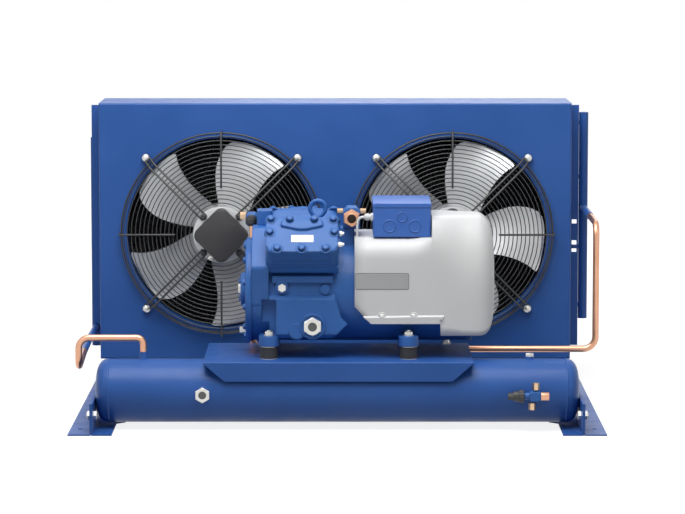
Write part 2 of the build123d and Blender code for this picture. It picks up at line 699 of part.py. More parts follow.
def head(side):
    """Cast head: rounded cover with a raised dome whose lower shoulder is a shallow vee."""
    middle = (BANK_X[0] + BANK_X[1]) / 2
    length = BANK_X[1] - BANK_X[0]
    base = extrude(Plane.XY.offset(DECK + VALVE_PLATE) * Pos(middle, 0)
                   * RectangleRounded(length, 2 * BANK_HALF, HEAD_CORNER), HEAD_THICK)
    base = chamfer(base.faces().sort_by(Axis.Z)[-1].edges(), HEAD_EDGE)
    top = DECK + VALVE_PLATE + HEAD_THICK
    outer = -side * (BANK_HALF - 3)
    points = [(middle - 46, outer), (middle - 46, outer + side * 26), (middle - 9, outer + side * 36),
              (middle + 9, outer + side * 36), (middle + 46, outer + side * 26), (middle + 46, outer)]
    dome = profile(points, "Z", (top - 2, top + DOME_RISE))
    return on_bank(side, base + dome)


def upper(side, v):
    """Distance v up the slope of a bank, as the local Y of on_bank."""
    return -side * v


HEAD_MID = (BANK_X[0] + BANK_X[1]) / 2
HEAD_BOLTS = ([(HEAD_MID + dx, 42, 0) for dx in (-68.5, 68.5)]
              + [(HEAD_MID + dx, 5, 0) for dx in (-71, 71)]
              + [(HEAD_MID + dx, -41, 0) for dx in (-54, 0, 52)]
              + [(HEAD_MID + dx, 37, DOME_RISE) for dx in (-27, 27)])


def head_bolts():
    face = DECK + VALVE_PLATE + HEAD_THICK
    bolts = []
    for side in (-1, 1):
        for x, v, rise in HEAD_BOLTS:
            seat = face + rise
            y = upper(side, v)
            bolts.append(on_bank(side, hexagon((x, y, seat), (x, y, seat + HEAD_BOLT_HEIGHT), HEAD_BOLT_FLATS)))
    return bolts


def valve_plate(side):
    middle = (BANK_X[0] + BANK_X[1]) / 2
    plate = extrude(Plane.XY.offset(DECK) * Pos(middle, 0)
                    * RectangleRounded(BANK_X[1] - BANK_X[0], 2 * BANK_HALF, HEAD_CORNER), VALVE_PLATE)
    return on_bank(side, plate)


def end_cover():
    """Bolted cover that closes the crank room and holds the outer main bearing."""
    outer = BARREL_X[0] - END_COVER_THICK
    cover = crank_rod(outer, BARREL_X[0], END_COVER_R)
    cover += crank_rod(BARREL_X[0] - 1, BARREL_X[0] + BEARING_LENGTH - 4, BEARING_ROOM_R + 9)
    return cover - crank_rod(BARREL_X[0] - 4, BARREL_X[0] + BEARING_LENGTH, BEARING_ROOM_R)


def end_bolts():
    face = BARREL_X[0] - END_COVER_THICK
    bolts = []
    for number in range(END_BOLT_COUNT):
        turn = 2 * pi * (number + 0.5) / END_BOLT_COUNT
        y, z = CRANK_Y + END_BOLT_PCR * cos(turn), CRANK_Z + END_BOLT_PCR * sin(turn)
        bolts.append(hexagon((face, y, z), (face - END_BOLT_HEIGHT, y, z), END_BOLT_FLATS))
    return bolts


def bearings():
    """Two plain bushes, one in the end cover and one in the wall in front of the motor."""
    start = BARREL_X[0] - 4
    outer = crank_rod(start, start + BEARING_LENGTH, BEARING_ROOM_R)
    inner = crank_rod(PARTITION_X[0], PARTITION_X[1], BEARING_ROOM_R)
    cut = crank_rod(start - 1, PARTITION_X[1] + 1, SHAFT_R + RUNNING)
    return [outer - cut, inner - cut]


def crankshaft():
    """Shaft with two opposed crank pins between round webs."""
    start, end = BARREL_X[0] - 2, ROTOR_X[1] + 10
    shaft = crank_rod(start, CYLINDER_XS[0] - CRANK_PIN / 2, SHAFT_R)
    shaft += crank_rod(CYLINDER_XS[0] + CRANK_PIN / 2, CYLINDER_XS[1] - CRANK_PIN / 2, SHAFT_R)
    shaft += crank_rod(CYLINDER_XS[1] + CRANK_PIN / 2, end, SHAFT_R)
    for x, way in zip(CYLINDER_XS, (1, -1)):
        y = CRANK_Y + way * CRANK_THROW
        low, high = x - CRANK_PIN / 2, x + CRANK_PIN / 2
        shaft += rod((low, y, CRANK_Z), (high, y, CRANK_Z), CRANK_PIN_R)
        reach = sorted((CRANK_Y + way * (CRANK_THROW + CRANK_PIN_R), CRANK_Y - way * COUNTERWEIGHT))
        for web in ((low - WEB_THICK, low), (high, high + WEB_THICK)):
            shaft += block(web, reach, (CRANK_Z - WEB_HALF, CRANK_Z + WEB_HALF))
    return shaft


def rotor():
    core = crank_rod(ROTOR_X[0], ROTOR_X[1], ROTOR_R, HIDDEN_SIDES)
    return core - crank_rod(ROTOR_X[0] - 1, ROTOR_X[1] + 1, SHAFT_R)


def stator():
    """Laminated core with its winding, pressed into the housing."""
    core = crank_rod(ROTOR_X[0] - WINDING, ROTOR_X[1] + WINDING, MOTOR_ROOM_R, HIDDEN_SIDES)
    return core - crank_rod(ROTOR_X[0] - WINDING - 1, ROTOR_X[1] + WINDING + 1, ROTOR_R + AIR_GAP)


def lifting_eye():
    """Eye bolt: a ring on a collar, screwed to the boss in the valley between the banks."""
    plane = Plane(origin=(EYE_X, CRANK_Y - EYE_WIRE, EYE_Z), x_dir=(1, 0, 0), z_dir=(0, 1, 0))
    ring = extrude(plane * (RegularPolygon(EYE_R + EYE_WIRE, EYE_SIDES) - RegularPolygon(EYE_R - EYE_WIRE, EYE_SIDES)),
                   2 * EYE_WIRE)
    low = EYE_Z - EYE_R
    stem = rod((EYE_X, CRANK_Y, EYE_BOSS_TOP), (EYE_X, CRANK_Y, low), 8, 12)
    return ring + stem + rod((EYE_X, CRANK_Y, EYE_BOSS_TOP), (EYE_X, CRANK_Y, EYE_BOSS_TOP + 5), 13, 16)


END_FACE = BARREL_X[0] - END_COVER_THICK
COVER_FACE = END_FACE - BEARING_COVER_THICK


def plugs():
    """Threaded plugs of the oil gallery, the end cover and the drain."""
    x, z, _ = PLUG_BOSSES[0]
    gallery = hexagon((x, PLUG_SEAT, z), (x, PLUG_SEAT - 6, z), PLUG_FLATS)
    cap = hexagon((COVER_FACE, CRANK_Y, CRANK_Z), (COVER_FACE - 6, CRANK_Y, CRANK_Z), PLUG_FLATS + 6)
    low = CRANK_Z - END_COVER_R + 24
    drain = hexagon((END_FACE, CRANK_Y, low), (END_FACE - 16, CRANK_Y, low), PLUG_FLATS - 2)
    return [gallery, cap, drain]


def glass_lenses():
    oil = rod((OIL_X, OIL_SEAT, OIL_Z), (OIL_X, OIL_SEAT - LENS_DEPTH, OIL_Z), OIL_R - SOCKET_FIT)
    tank = rod((SIGHT_X, SIGHT_SEAT, TANK_Z), (SIGHT_X, SIGHT_SEAT - LENS_DEPTH, TANK_Z), SIGHT_R - SOCKET_FIT)
    return [oil, tank]


save(crankcase(), "crankcase")
save(valve_plate(-1), "valve_plate_front")
save(valve_plate(1), "valve_plate_rear")
save(head(-1), "cylinder_head_front")
save(head(1), "cylinder_head_rear")
save(head_bolts(), "head_bolts")
save(end_cover(), "end_cover")
save(end_bolts(), "end_cover_bolts")
save(rod((COVER_FACE, CRANK_Y, CRANK_Z), (END_FACE, CRANK_Y, CRANK_Z), BEARING_COVER_R, 32), "bearing_cover")
save(bearings(), "main_bearings")
save(crankshaft(), "crankshaft")
save(rotor(), "motor_rotor")
save(stator(), "motor_stator")
save(lifting_eye(), "lifting_eye")
save(plugs(), "oil_plugs")
save([oil_glass_ring(), sight_glass_ring()], "sight_glass_rings")
save(glass_lenses(), "sight_glass_lenses")

# ---------------------------------------------------------------- service valves
SUCTION_HALF = SUCTION_WIDE / 2
SUCTION_MOUTH = SUCTION_Y[0] - SUCTION_NUT_DEPTH - SUCTION_TUBE


def suction_body():
    body = block((SUCTION_X - SUCTION_HALF, SUCTION_X + SUCTION_HALF), SUCTION_Y, (SUCTION_PAD_TOP, SUCTION_TOP))
    return chamfer(body.edges().filter_by(Axis.Y).group_by(Axis.Z)[-1], 9)


def suction_nut():
    """Flare nut and the short copper end of the suction connection."""
    nut = hexagon((SUCTION_X, SUCTION_Y[0], SUCTION_Z), (SUCTION_X, SUCTION_Y[0] - SUCTION_NUT_DEPTH, SUCTION_Z),
                  SUCTION_NUT_FLATS)
    at = lambda y: (SUCTION_X, y, SUCTION_Z)
    end = rod(at(SUCTION_Y[0] - 1), at(SUCTION_MOUTH), SUCTION_TUBE_R)
    return nut + end - rod(at(SUCTION_Y[0]), at(SUCTION_MOUTH - 1), SUCTION_BORE_R)


def outlet_tube():
    at = lambda x: (x, VALVE_MID, TANK_Z)
    return tube(at(TUBE_START), at(TUBE_START + VALVE_TUBE_LENGTH), VALVE_TUBE_R, VALVE_TUBE_BORE)


def discharge_body():
    """Angle valve: bolted flange on the end wall and a barrel that points to the back."""
    x0, x1 = DISCHARGE_X - DISCHARGE_HALF, DISCHARGE_X + DISCHARGE_HALF
    body = block((x0, x1), DISCHARGE_Y, (DISCHARGE_Z - DISCHARGE_HALF, DISCHARGE_Z + DISCHARGE_HALF))
    body = chamfer(body.edges().filter_by(Axis.Y), 5)
    flange = block(DISCHARGE_FLANGE_X, DISCHARGE_FLANGE_Y, (END_WALL_TOP, DISCHARGE_FLANGE_TOP))
    flange = chamfer(flange.edges().filter_by(Axis.Z), 6)
    link = block((DISCHARGE_X, DISCHARGE_FLANGE_X[0] + 8), (DISCHARGE_Y[0], DISCHARGE_FLANGE_Y[1] - 8),
                 (END_WALL_TOP, DISCHARGE_Z + DISCHARGE_HALF - 2))
    return body + link + flange


def service_caps():
    """Brass caps of the service ports on both compressor valves and on the outlet valve."""
    y = sum(SUCTION_Y) / 2
    left, right = SUCTION_X - SUCTION_HALF, SUCTION_X + SUCTION_HALF
    caps = [hexagon((left, y, CAP_Z), (left - CAP_LENGTH, y, CAP_Z), 2 * CAP_R),
            hexagon((right, y, CAP_Z), (right + CAP_LENGTH, y, CAP_Z), 2 * CAP_R)]
    x, y = DISCHARGE_X - DISCHARGE_HALF, sum(DISCHARGE_Y) / 2
    caps.append(hexagon((x, y, SERVICE_Z - 4), (x - SERVICE_LENGTH, y, SERVICE_Z - 4), SERVICE_FLATS))
    return caps + [port_cap(x, way) for x, way in VALVE_PORTS]


save(suction_body(), "suction_valve_body")
save([suction_nut(), outlet_tube()], "connection_tubes")
save(discharge_body(), "discharge_valve_body")
save(stem_cap((DISCHARGE_X, DISCHARGE_Y[0], DISCHARGE_Z), (0, -1, 0), STEM_CAP_LENGTH, STEM_CAP_R),
     "discharge_valve_cap")
save(service_caps(), "service_port_caps")

# ---------------------------------------------------------------- terminal box


def terminal_box():
    """Open-topped cast box with three blind knock-outs, on the pedestal of the motor housing."""
    body = block(BOX_X, BOX_Y, (BOX_Z[0], BOX_SEAM))
    body = chamfer(body.edges().filter_by(Axis.Z), 4)
    body -= block((BOX_X[0] + BOX_WALL, BOX_X[1] - BOX_WALL), (BOX_Y[0] + BOX_WALL, BOX_Y[1] - BOX_WALL),
                  (BOX_Z[0] + BOX_WALL, BOX_SEAM + 1))
    for x, z, radius in KNOCKOUTS:
        body -= rod((x, BOX_Y[0] - 1, z), (x, BOX_Y[0] + KNOCKOUT_DEPTH, z), radius, 24)
    return body


def box_lid():
    """Shallow lid with bevelled upper edges."""
    lid = block((BOX_X[0] - 1, BOX_X[1] + 1), (BOX_Y[0] - 1, BOX_Y[1] + 1), (BOX_SEAM, BOX_Z[1]))
    lid = chamfer(lid.edges().filter_by(Axis.Z), 4)
    return chamfer(lid.faces().sort_by(Axis.Z)[-1].edges(), 4)


def cable_gland():
    """Nut, body and dome of the gland in the box's left wall."""
    wall = BOX_X[0]
    at = lambda out: (wall - out, GLAND_Y, GLAND_Z)
    gland = hexagon(at(0), at(6), 2 * GLAND_R) + rod(at(5), at(10), GLAND_R - 2, 12)
    gland += hexagon(at(9), at(GLAND_LENGTH), 2 * GLAND_R - 2)
    return gland - rod(at(4), at(GLAND_LENGTH + 1), CABLE_R + SOCKET_FIT, 12)


CABLE_START = BOX_X[0] - 4
CABLE_FALL = COVER_LOW_TOP - COVER_WALL - 6
CABLE_ROUTE = [(CABLE_START, GLAND_Y, GLAND_Z), (CABLE_ENTRY_X + CABLE_BEND / 2, GLAND_Y, GLAND_Z),
               (CABLE_ENTRY_X, GLAND_Y, GLAND_Z - CABLE_BEND), (CABLE_ENTRY_X, GLAND_Y, CABLE_FALL)]

save(terminal_box(), "terminal_box")
save(box_lid(), "terminal_box_lid")
save(cable_gland(), "cable_gland")
save(pipe(CABLE_ROUTE, [CABLE_BEND * 0.7, CABLE_BEND], CABLE_R, 6), "sensor_cable")

# ---------------------------------------------------------------- motor cover
COVER_FRONT = CRANK_Y - COVER_HALF
COVER_BACK = CRANK_Y + COVER_HALF


def shroud(inset, left_end, low_end):
    """The cover's outer form, drawn in by inset; its long edges are rounded front and back."""
    left, right = left_end, COVER_X[1] - inset
    step, high, mid = COVER_STEP_X + inset, COVER_HIGH_TOP - inset, COVER_LOW_TOP - inset
    tail, base = COVER_TAIL - low_end, COVER_BASE - low_end
    cut = COVER_CUT if inset == 0 else 0
    outline = [(left, mid), (step, mid), (step, high), (right, high), (right, tail),
               (COVER_TAIL_X + inset, tail), (COVER_TAIL_X + inset, base), (left + cut, base), (left, base + cut)]
    if inset:
        outline = outline[:5] + [(left, tail)]
    body = profile(outline, "Y", (COVER_FRONT + inset, COVER_BACK - inset))
    corner = body.edges().filter_by(Axis.Y).filter_by_position(Axis.X, right - 0.1, right + 0.1)
    body = fillet(corner.sort_by(Axis.Z)[-1], 26 - inset)
    long_edges = body.edges().filter_by(Axis.X).filter_by_position(Axis.Z, mid - 0.1, mid + 0.1)
    body = fillet(long_edges, COVER_EDGE - inset)
    return body


def motor_cover():
    """One-piece moulding, open to the left and underneath, with a window for the terminal box."""
    body = shroud(0, COVER_X[0], 0) - shroud(COVER_WALL, COVER_X[0] - 5, 10)
    window = 3
    body -= block((PEDESTAL_X[0] - window, PEDESTAL_X[1] + window), (PEDESTAL_Y[0] - window, PEDESTAL_Y[1] + window),
                  (COVER_LOW_TOP - 10, COVER_LOW_TOP + 1))
    body -= rod((CABLE_ENTRY_X, GLAND_Y, COVER_LOW_TOP - 12), (CABLE_ENTRY_X, GLAND_Y, COVER_LOW_TOP + 2),
                CABLE_R + SOCKET_FIT)
    for side in (-1, 1):
        for x in COVER_SCREW_XS:
            face = CRANK_Y + side * (COVER_HALF - COVER_WALL + 0.5)
            body += rod((x, face, COVER_SCREW_Z), (x, CRANK_Y + side * BARREL_R / 2, COVER_SCREW_Z), 9, 12)
    return body - crank_rod(COVER_X[0] - 10, BARREL_X[1] + 1, BARREL_R)


def cover_screws():
    screws = []
    for side in (-1, 1):
        face = CRANK_Y + side * COVER_HALF
        for x in COVER_SCREW_XS:
            screws.append(rod((x, face, COVER_SCREW_Z), (x, face + side * 2, COVER_SCREW_Z), SCREW_R, 12))
    return screws


save(motor_cover(), "motor_cover")
save(cover_screws(), "motor_cover_screws")

# ---------------------------------------------------------------- condenser
COWL_X = (COWL_MID - COWL_HALF, COWL_MID + COWL_HALF)
FAN_XS = (FAN_MID - FAN_SPACING / 2, FAN_MID + FAN_SPACING / 2)
CASING = COWL_HALF - COIL_PLATE
CASING_Y = (PANEL_Y + BELLMOUTH, COWL_Y[1])


def folded_sheet(x, y, z):
    """A sheet box open at the back, with the bends of its front edges rounded."""
    body = fillet(block(x, y, z).faces().sort_by(Axis.Y)[0].edges(), COWL_BEND)
    inner_x, inner_z = [(low + COWL_SHEET, high - COWL_SHEET) for low, high in (x, z)]
    return body - block(inner_x, (y[0] + COWL_SHEET, y[1] + 1), inner_z)


def fan_cowl():
    """Front tray of the hood, with a flanged round opening for each fan."""
    body = folded_sheet(COWL_X, (COWL_Y[0], CASING_Y[0]), COWL_Z)
    for x in FAN_XS:
        body += tube((x, PANEL_Y, FAN_Z), (x, PANEL_Y + BELLMOUTH, FAN_Z), OPENING_R + COWL_SHEET, OPENING_R)
        body -= rod((x, PANEL_Y - 1, FAN_Z), (x, PANEL_Y + BELLMOUTH + 1, FAN_Z), OPENING_R)
    return body


def cowl_casing():
    """Four sheets behind the tray: top and bottom reach over the coil, the sides stop at its end plates."""
    low, high = COWL_Z
    across = (low + COWL_SHEET, high - COWL_SHEET)
    sheets = [block(COWL_X, CASING_Y, (high - COWL_SHEET, high)), block(COWL_X, CASING_Y, (low, low + COWL_SHEET))]
    for start in (COWL_X[0], COWL_X[1] - COWL_SHEET):
        sheets.append(block((start, start + COWL_SHEET), (CASING_Y[0], COIL_Y[0]), across))
    return sheets


def coil_fins():
    """Fin pack drawn as a comb: a solid core with upright fins front and back."""
    half = CASING
    pitch = 2 * half / (FIN_COUNT - FIN_SHARE)
    front, back = COIL_Y
    points = []
    for number in range(FIN_COUNT - 1):
        start = COWL_MID - half + number * pitch
        end = start + pitch * FIN_SHARE
        points += [(start, front), (end, front), (end, front + FIN_DEPTH), (start + pitch, front + FIN_DEPTH)]
    points += [(COWL_MID + half - pitch * FIN_SHARE, front), (COWL_MID + half, front)]
    back_points = [(2 * COWL_MID - x, front + back - y) for x, y in points]
    return profile(points + back_points, "Z", COIL_Z)


def end_plate(side):
    outer = COWL_MID + side * COWL_HALF
    inner = COWL_MID + side * CASING
    web = block((inner, outer), COIL_Y, (COWL_Z[0] + COWL_SHEET, COWL_Z[1] - COWL_SHEET))
    flange = block((inner, outer + side * COIL_FLANGE), (COIL_Y[0], COIL_Y[0] + COIL_PLATE), COIL_Z)
    body = web + flange
    if side < 0:
        body -= rod((LIQUID_X, COIL_Y[0] - 1, LIQUID_LOW_Z), (LIQUID_X, COIL_Y[0] + COIL_PLATE + 1, LIQUID_LOW_Z),
                    PIPE_NOTCH_R)
        body -= block((LIQUID_X - 20, LIQUID_X), (COIL_Y[0] - 1, COIL_Y[0] + COIL_PLATE + 1),
                      (LIQUID_LOW_Z - PIPE_NOTCH_R, LIQUID_LOW_Z + PIPE_NOTCH_R))
    else:
        for low, high in FLANGE_HOLES:
            body -= block([outer + out for out in FLANGE_HOLE_OUT], (COIL_Y[0] - 1, COIL_Y[0] + COIL_PLATE + 1),
                          (low, high))
    return body


def header(x, y, limits, stubs, plate):
    """Header tube with the short feeders that enter the coil's end plate."""
    body = rod((x, y, limits[0]), (x, y, limits[1]), HEADER_R)
    for z in stubs:
        body += rod((x, y, z), (plate, y, z), STUB_R, 8)
    return body


save(fan_cowl(), "fan_cowl")
save(cowl_casing(), "cowl_casing")
save(coil_fins(), "coil_fins")
save([end_plate(-1), end_plate(1)], "coil_end_plates")
save(header(GAS_X, GAS_Y, GAS_Z, GAS_STUBS, COWL_X[1]), "gas_header")
save(header(LIQUID_X, LIQUID_Y, LIQUID_Z, LIQUID_STUBS, COWL_X[0]), "liquid_header")

# ---------------------------------------------------------------- pipes
DISCHARGE_ROUTE = [(DISCHARGE_X, DISCHARGE_Y[1], DISCHARGE_Z), (DISCHARGE_X, DISCHARGE_RUN_Y, DISCHARGE_Z),
                   (DISCHARGE_X, DISCHARGE_RUN_Y, DISCHARGE_RUN_Z), (GAS_X, DISCHARGE_RUN_Y, DISCHARGE_RUN_Z),
                   (GAS_X, DISCHARGE_RUN_Y, GAS_ENTRY_Z), (GAS_X, GAS_Y - HEADER_R + 0.5, GAS_ENTRY_Z)]
LIQUID_ROUTE = [(LIQUID_X, LIQUID_Y - HEADER_R + 0.5, LIQUID_LOW_Z), (LIQUID_X, PANEL_Y - 20, LIQUID_LOW_Z),
                (LIQUID_FRONT_X, TANK_Y, LIQUID_LOW_Z), (LIQUID_FRONT_X, TANK_Y, LIQUID_HIGH_Z),
                (INLET_X, TANK_Y, LIQUID_HIGH_Z), (INLET_X, TANK_Y, INLET_TOP - SOCKET_DEPTH)]


def header_seat(shape, x, y, z):
    """Cut a pipe's end to the curve of the header that it is brazed to."""
    return shape - rod((x, y, z - 40), (x, y, z + 40), HEADER_R)


def pipe_clip():
    """Saddle on the edge of the base plate that steadies the discharge pipe."""
    low = CLIP_X - CLIP_WIDTH / 2
    lug_block = block((low, low + CLIP_WIDTH), (PLATE_Y[1] - 26, PLATE_Y[1] + 2), (PLATE_TOP, PLATE_TOP + SHEET))
    strap = block((low, low + CLIP_WIDTH), (PLATE_Y[1], PLATE_Y[1] + SHEET),
                  (DISCHARGE_RUN_Z - PIPE_R, PLATE_TOP + SHEET))
    shelf = block((low, low + CLIP_WIDTH), (PLATE_Y[1], DISCHARGE_RUN_Y),
                  (DISCHARGE_RUN_Z - PIPE_R - SHEET, DISCHARGE_RUN_Z - PIPE_R))
    bolt = hexagon((CLIP_X, PLATE_Y[1] - 12, PLATE_TOP + SHEET), (CLIP_X, PLATE_Y[1] - 12, PLATE_TOP + SHEET + 6),
                   10)
    return lug_block + strap + shelf + bolt


save(header_seat(pipe(DISCHARGE_ROUTE, [BEND_R, BEND_R, GAS_BEND_R, GAS_BEND_R], PIPE_R), GAS_X, GAS_Y,
                 GAS_ENTRY_Z), "discharge_pipe")
save(header_seat(pipe(LIQUID_ROUTE, [LIQUID_SWEEP_R, BEND_R, BEND_R, INLET_BEND_R], PIPE_R), LIQUID_X, LIQUID_Y, LIQUID_LOW_Z),
     "liquid_pipe")
save(pipe_clip(), "pipe_clip")

# ---------------------------------------------------------------- fans
ROD_Y = GUARD_RING_Y - ROD_FLATS / 2
FLANGE_BACK = GUARD_RING_Y + MOTOR_FLANGE
CORE_BACK = FLANGE_BACK + MOTOR_CORE
CUP_FRONT = FLANGE_BACK + CUP_GAP
CUP_BACK = CORE_BACK + CUP_GAP + CUP_WALL


def spot(fan_x, radius, turn, y, across=0.0):
    """A point on the fan's face at a radius and a turn, moved sideways by across."""
    c, s = cos(radians(turn)), sin(radians(turn))
    return (fan_x + radius * c - across * s, y, FAN_Z + radius * s + across * c)


def wire_ring(fan_x, radius, y):
    """A guard ring, drawn with few flats; its square section is as thick as the wire."""
    plane = Plane(origin=(fan_x, y, FAN_Z), x_dir=(1, 0, 0), z_dir=(0, 1, 0))
    outer = RegularPolygon(radius + WIRE / 2, RING_SIDES)
    return extrude(plane * (outer - RegularPolygon(radius - WIRE / 2, RING_SIDES)), WIRE)


def guard_arm(fan_x, turn):
    """Two bent rods side by side, from the motor out to the knob that holds them to the panel."""
    foot = spot(fan_x, ARM_FOOT_R, turn, PANEL_Y)
    arm = rod(spot(fan_x, ARM_FOOT_R, turn, PANEL_Y - KNOB_THICK), foot, KNOB_R, 12)
    for across in (-ARM_HALF_GAP, ARM_HALF_GAP):
        bend = spot(fan_x, ARM_R[1], turn, ROD_Y, across)
        arm += hexagon(spot(fan_x, ARM_R[0], turn, ROD_Y, across), bend, ROD_FLATS)
        arm += hexagon(bend, spot(fan_x, ARM_FOOT_R, turn, PANEL_Y - ROD_FLATS, across), ROD_FLATS)
    return arm


def guard_spoke(fan_x, turn):
    """A rod under the flat rings, bent back to the edge ring."""
    bend = spot(fan_x, SPOKE_R[1], turn, ROD_Y)
    spoke = hexagon(spot(fan_x, SPOKE_R[0], turn, ROD_Y), bend, ROD_FLATS)
    return spoke + hexagon(bend, spot(fan_x, OUTER_RING_R + 4, turn, OUTER_RING_Y - RING_SEAT), ROD_FLATS)


def fan_guard(fan_x):
    """Wire guard: rings lying on four spokes, and four double arms that carry the motor."""
    wires = [wire_ring(fan_x, OUTER_RING_R, OUTER_RING_Y)]
    wires += [wire_ring(fan_x, radius, GUARD_RING_Y) for radius in GUARD_RINGS]
    wires += [guard_spoke(fan_x, turn) for turn in (0, 90, 180, 270)]
    return wires + [guard_arm(fan_x, turn) for turn in (45, 135, 225, 315)]


def fan_stator(fan_x):
    """Fixed half of the motor: flange on the guard's arms and the core inside the rotor."""
    at = lambda y: (fan_x, y, FAN_Z)
    body = rod(at(GUARD_RING_Y), at(FLANGE_BACK), MOTOR_FLANGE_R, CUP_SIDES)
    body += rod(at(FLANGE_BACK - 1), at(CORE_BACK), MOTOR_CORE_R, HIDDEN_SIDES)
    return body - rod(at(FLANGE_BACK), at(CORE_BACK + 1), FAN_SHAFT_R + RUNNING)


def motor_cap(fan_x):
    """Rounded square terminal cap on the front of the motor, standing on one corner."""
    plane = Plane(origin=(fan_x, GUARD_RING_Y - MOTOR_CAP_DEPTH, FAN_Z), x_dir=(1, 0, 0), z_dir=(0, 1, 0))
    cap = extrude(plane * (Rot(0, 0, 45) * RectangleRounded(MOTOR_CAP_SIDE, MOTOR_CAP_SIDE, MOTOR_CAP_CORNER)),
                  MOTOR_CAP_DEPTH)
    return chamfer(cap.faces().sort_by(Axis.Y)[0].edges(), 3)


def blade():
    """Sickle blade folded out of flat panels: steep at the root, flatter and swept at the tip."""
    rows = []
    for radius, lead, trail, pitch in BLADE_SECTIONS:
        (xl, zl), (xt, zt) = [(radius * cos(radians(turn)), radius * sin(radians(turn))) for turn in (lead, trail)]
        rise = sqrt((xl - xt) ** 2 + (zl - zt) ** 2) / 2 * tan(radians(pitch))
        half = BLADE_THICK / 2
        rows.append([(xl, rise - half, zl), (xl, rise + half, zl), (xt, half - rise, zt), (xt, -half - rise, zt)])
    return faceted(rows)


def impeller(fan_x):
    """External rotor with its shaft and five sickle blades."""
    at = lambda y: (fan_x, y, FAN_Z)
    body = rod(at(CUP_FRONT), at(CUP_BACK), CUP_R, CUP_SIDES)
    body -= rod(at(CUP_FRONT - 1), at(CUP_BACK - CUP_WALL), CUP_R - CUP_WALL, HIDDEN_SIDES)
    body += rod(at(FLANGE_BACK + 4), at(CUP_BACK - 1), FAN_SHAFT_R)
    ring = rod((0, -80, 0), (0, 80, 0), BLADE_TIP_R) - rod((0, -80, 0), (0, 80, 0), CUP_R - 2)
    single = blade() & ring
    for number in range(BLADES):
        body += Pos(fan_x, BLADE_Y, FAN_Z) * Rot(0, -360 * number / BLADES, 0) * single
    return body


for name, fan_x in zip(("left", "right"), FAN_XS):
    save(fan_guard(fan_x), f"fan_guard_{name}")
    save(impeller(fan_x), f"impeller_{name}")
save([fan_stator(fan_x) for fan_x in FAN_XS], "fan_stators")
save([motor_cap(fan_x) for fan_x in FAN_XS], "fan_motor_caps")
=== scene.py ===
import json
from math import cos, pi, radians, sin, sqrt

import bmesh
import bpy
from mathutils import Matrix, Vector


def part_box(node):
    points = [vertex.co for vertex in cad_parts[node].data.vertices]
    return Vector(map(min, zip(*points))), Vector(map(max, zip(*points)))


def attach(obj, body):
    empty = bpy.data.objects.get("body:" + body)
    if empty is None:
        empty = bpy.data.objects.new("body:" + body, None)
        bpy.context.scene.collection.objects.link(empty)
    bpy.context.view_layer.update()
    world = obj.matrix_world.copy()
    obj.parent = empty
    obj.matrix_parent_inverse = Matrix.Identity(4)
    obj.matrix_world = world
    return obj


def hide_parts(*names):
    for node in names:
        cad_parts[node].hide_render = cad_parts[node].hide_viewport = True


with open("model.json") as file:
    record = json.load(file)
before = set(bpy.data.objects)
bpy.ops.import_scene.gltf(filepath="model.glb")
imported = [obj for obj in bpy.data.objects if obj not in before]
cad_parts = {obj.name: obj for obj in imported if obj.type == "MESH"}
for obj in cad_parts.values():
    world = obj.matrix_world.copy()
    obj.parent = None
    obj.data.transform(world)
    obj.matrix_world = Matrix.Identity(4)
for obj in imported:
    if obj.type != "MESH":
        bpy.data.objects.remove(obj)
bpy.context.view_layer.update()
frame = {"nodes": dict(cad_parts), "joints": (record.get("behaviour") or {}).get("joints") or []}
scene = bpy.context.scene
scene.view_settings.view_transform = "Standard"

# ---- Studio: a wide white floor that glows a little more away from the unit, and the camera a
# little above the unit and well away from it, so that the frame stands almost square to the view.
camera = bpy.data.objects.new("camera", bpy.data.cameras.new("camera"))
scene.collection.objects.link(camera)
camera.data.lens = 168.1
camera.data.sensor_width = 36.0
camera.data.clip_end = 60.0
camera.location = (0.0113, -7.334, 1.1437)
camera.rotation_euler = (radians(90 - 6.23), 0, 0)
scene.camera = camera

floor_mesh = bpy.data.meshes.new("studio_floor")
reach = 9.0
corners = [(-reach, -reach, 0), (reach, -reach, 0), (reach, reach, 0), (-reach, reach, 0)]
floor_mesh.from_pydata(corners, [], [(0, 1, 2, 3)])
studio_floor = bpy.data.objects.new("studio_floor", floor_mesh)
scene.collection.objects.link(studio_floor)
studio_floor.location.z = -0.0005


class Tone:
    """One output of a finish's nodes. Sums and products of tones add Math nodes."""

    def __init__(self, finish, socket):
        self.finish, self.socket = finish, socket

    def blend(self, operation, first, second):
        return self.finish.node("ShaderNodeMath", {"operation": operation}, {0: first, 1: second})

    def __add__(self, other):
        return self.blend("ADD", self, other)

    def __mul__(self, other):
        return self.blend("MULTIPLY", self, other)

    __radd__ = __add__
    __rmul__ = __mul__


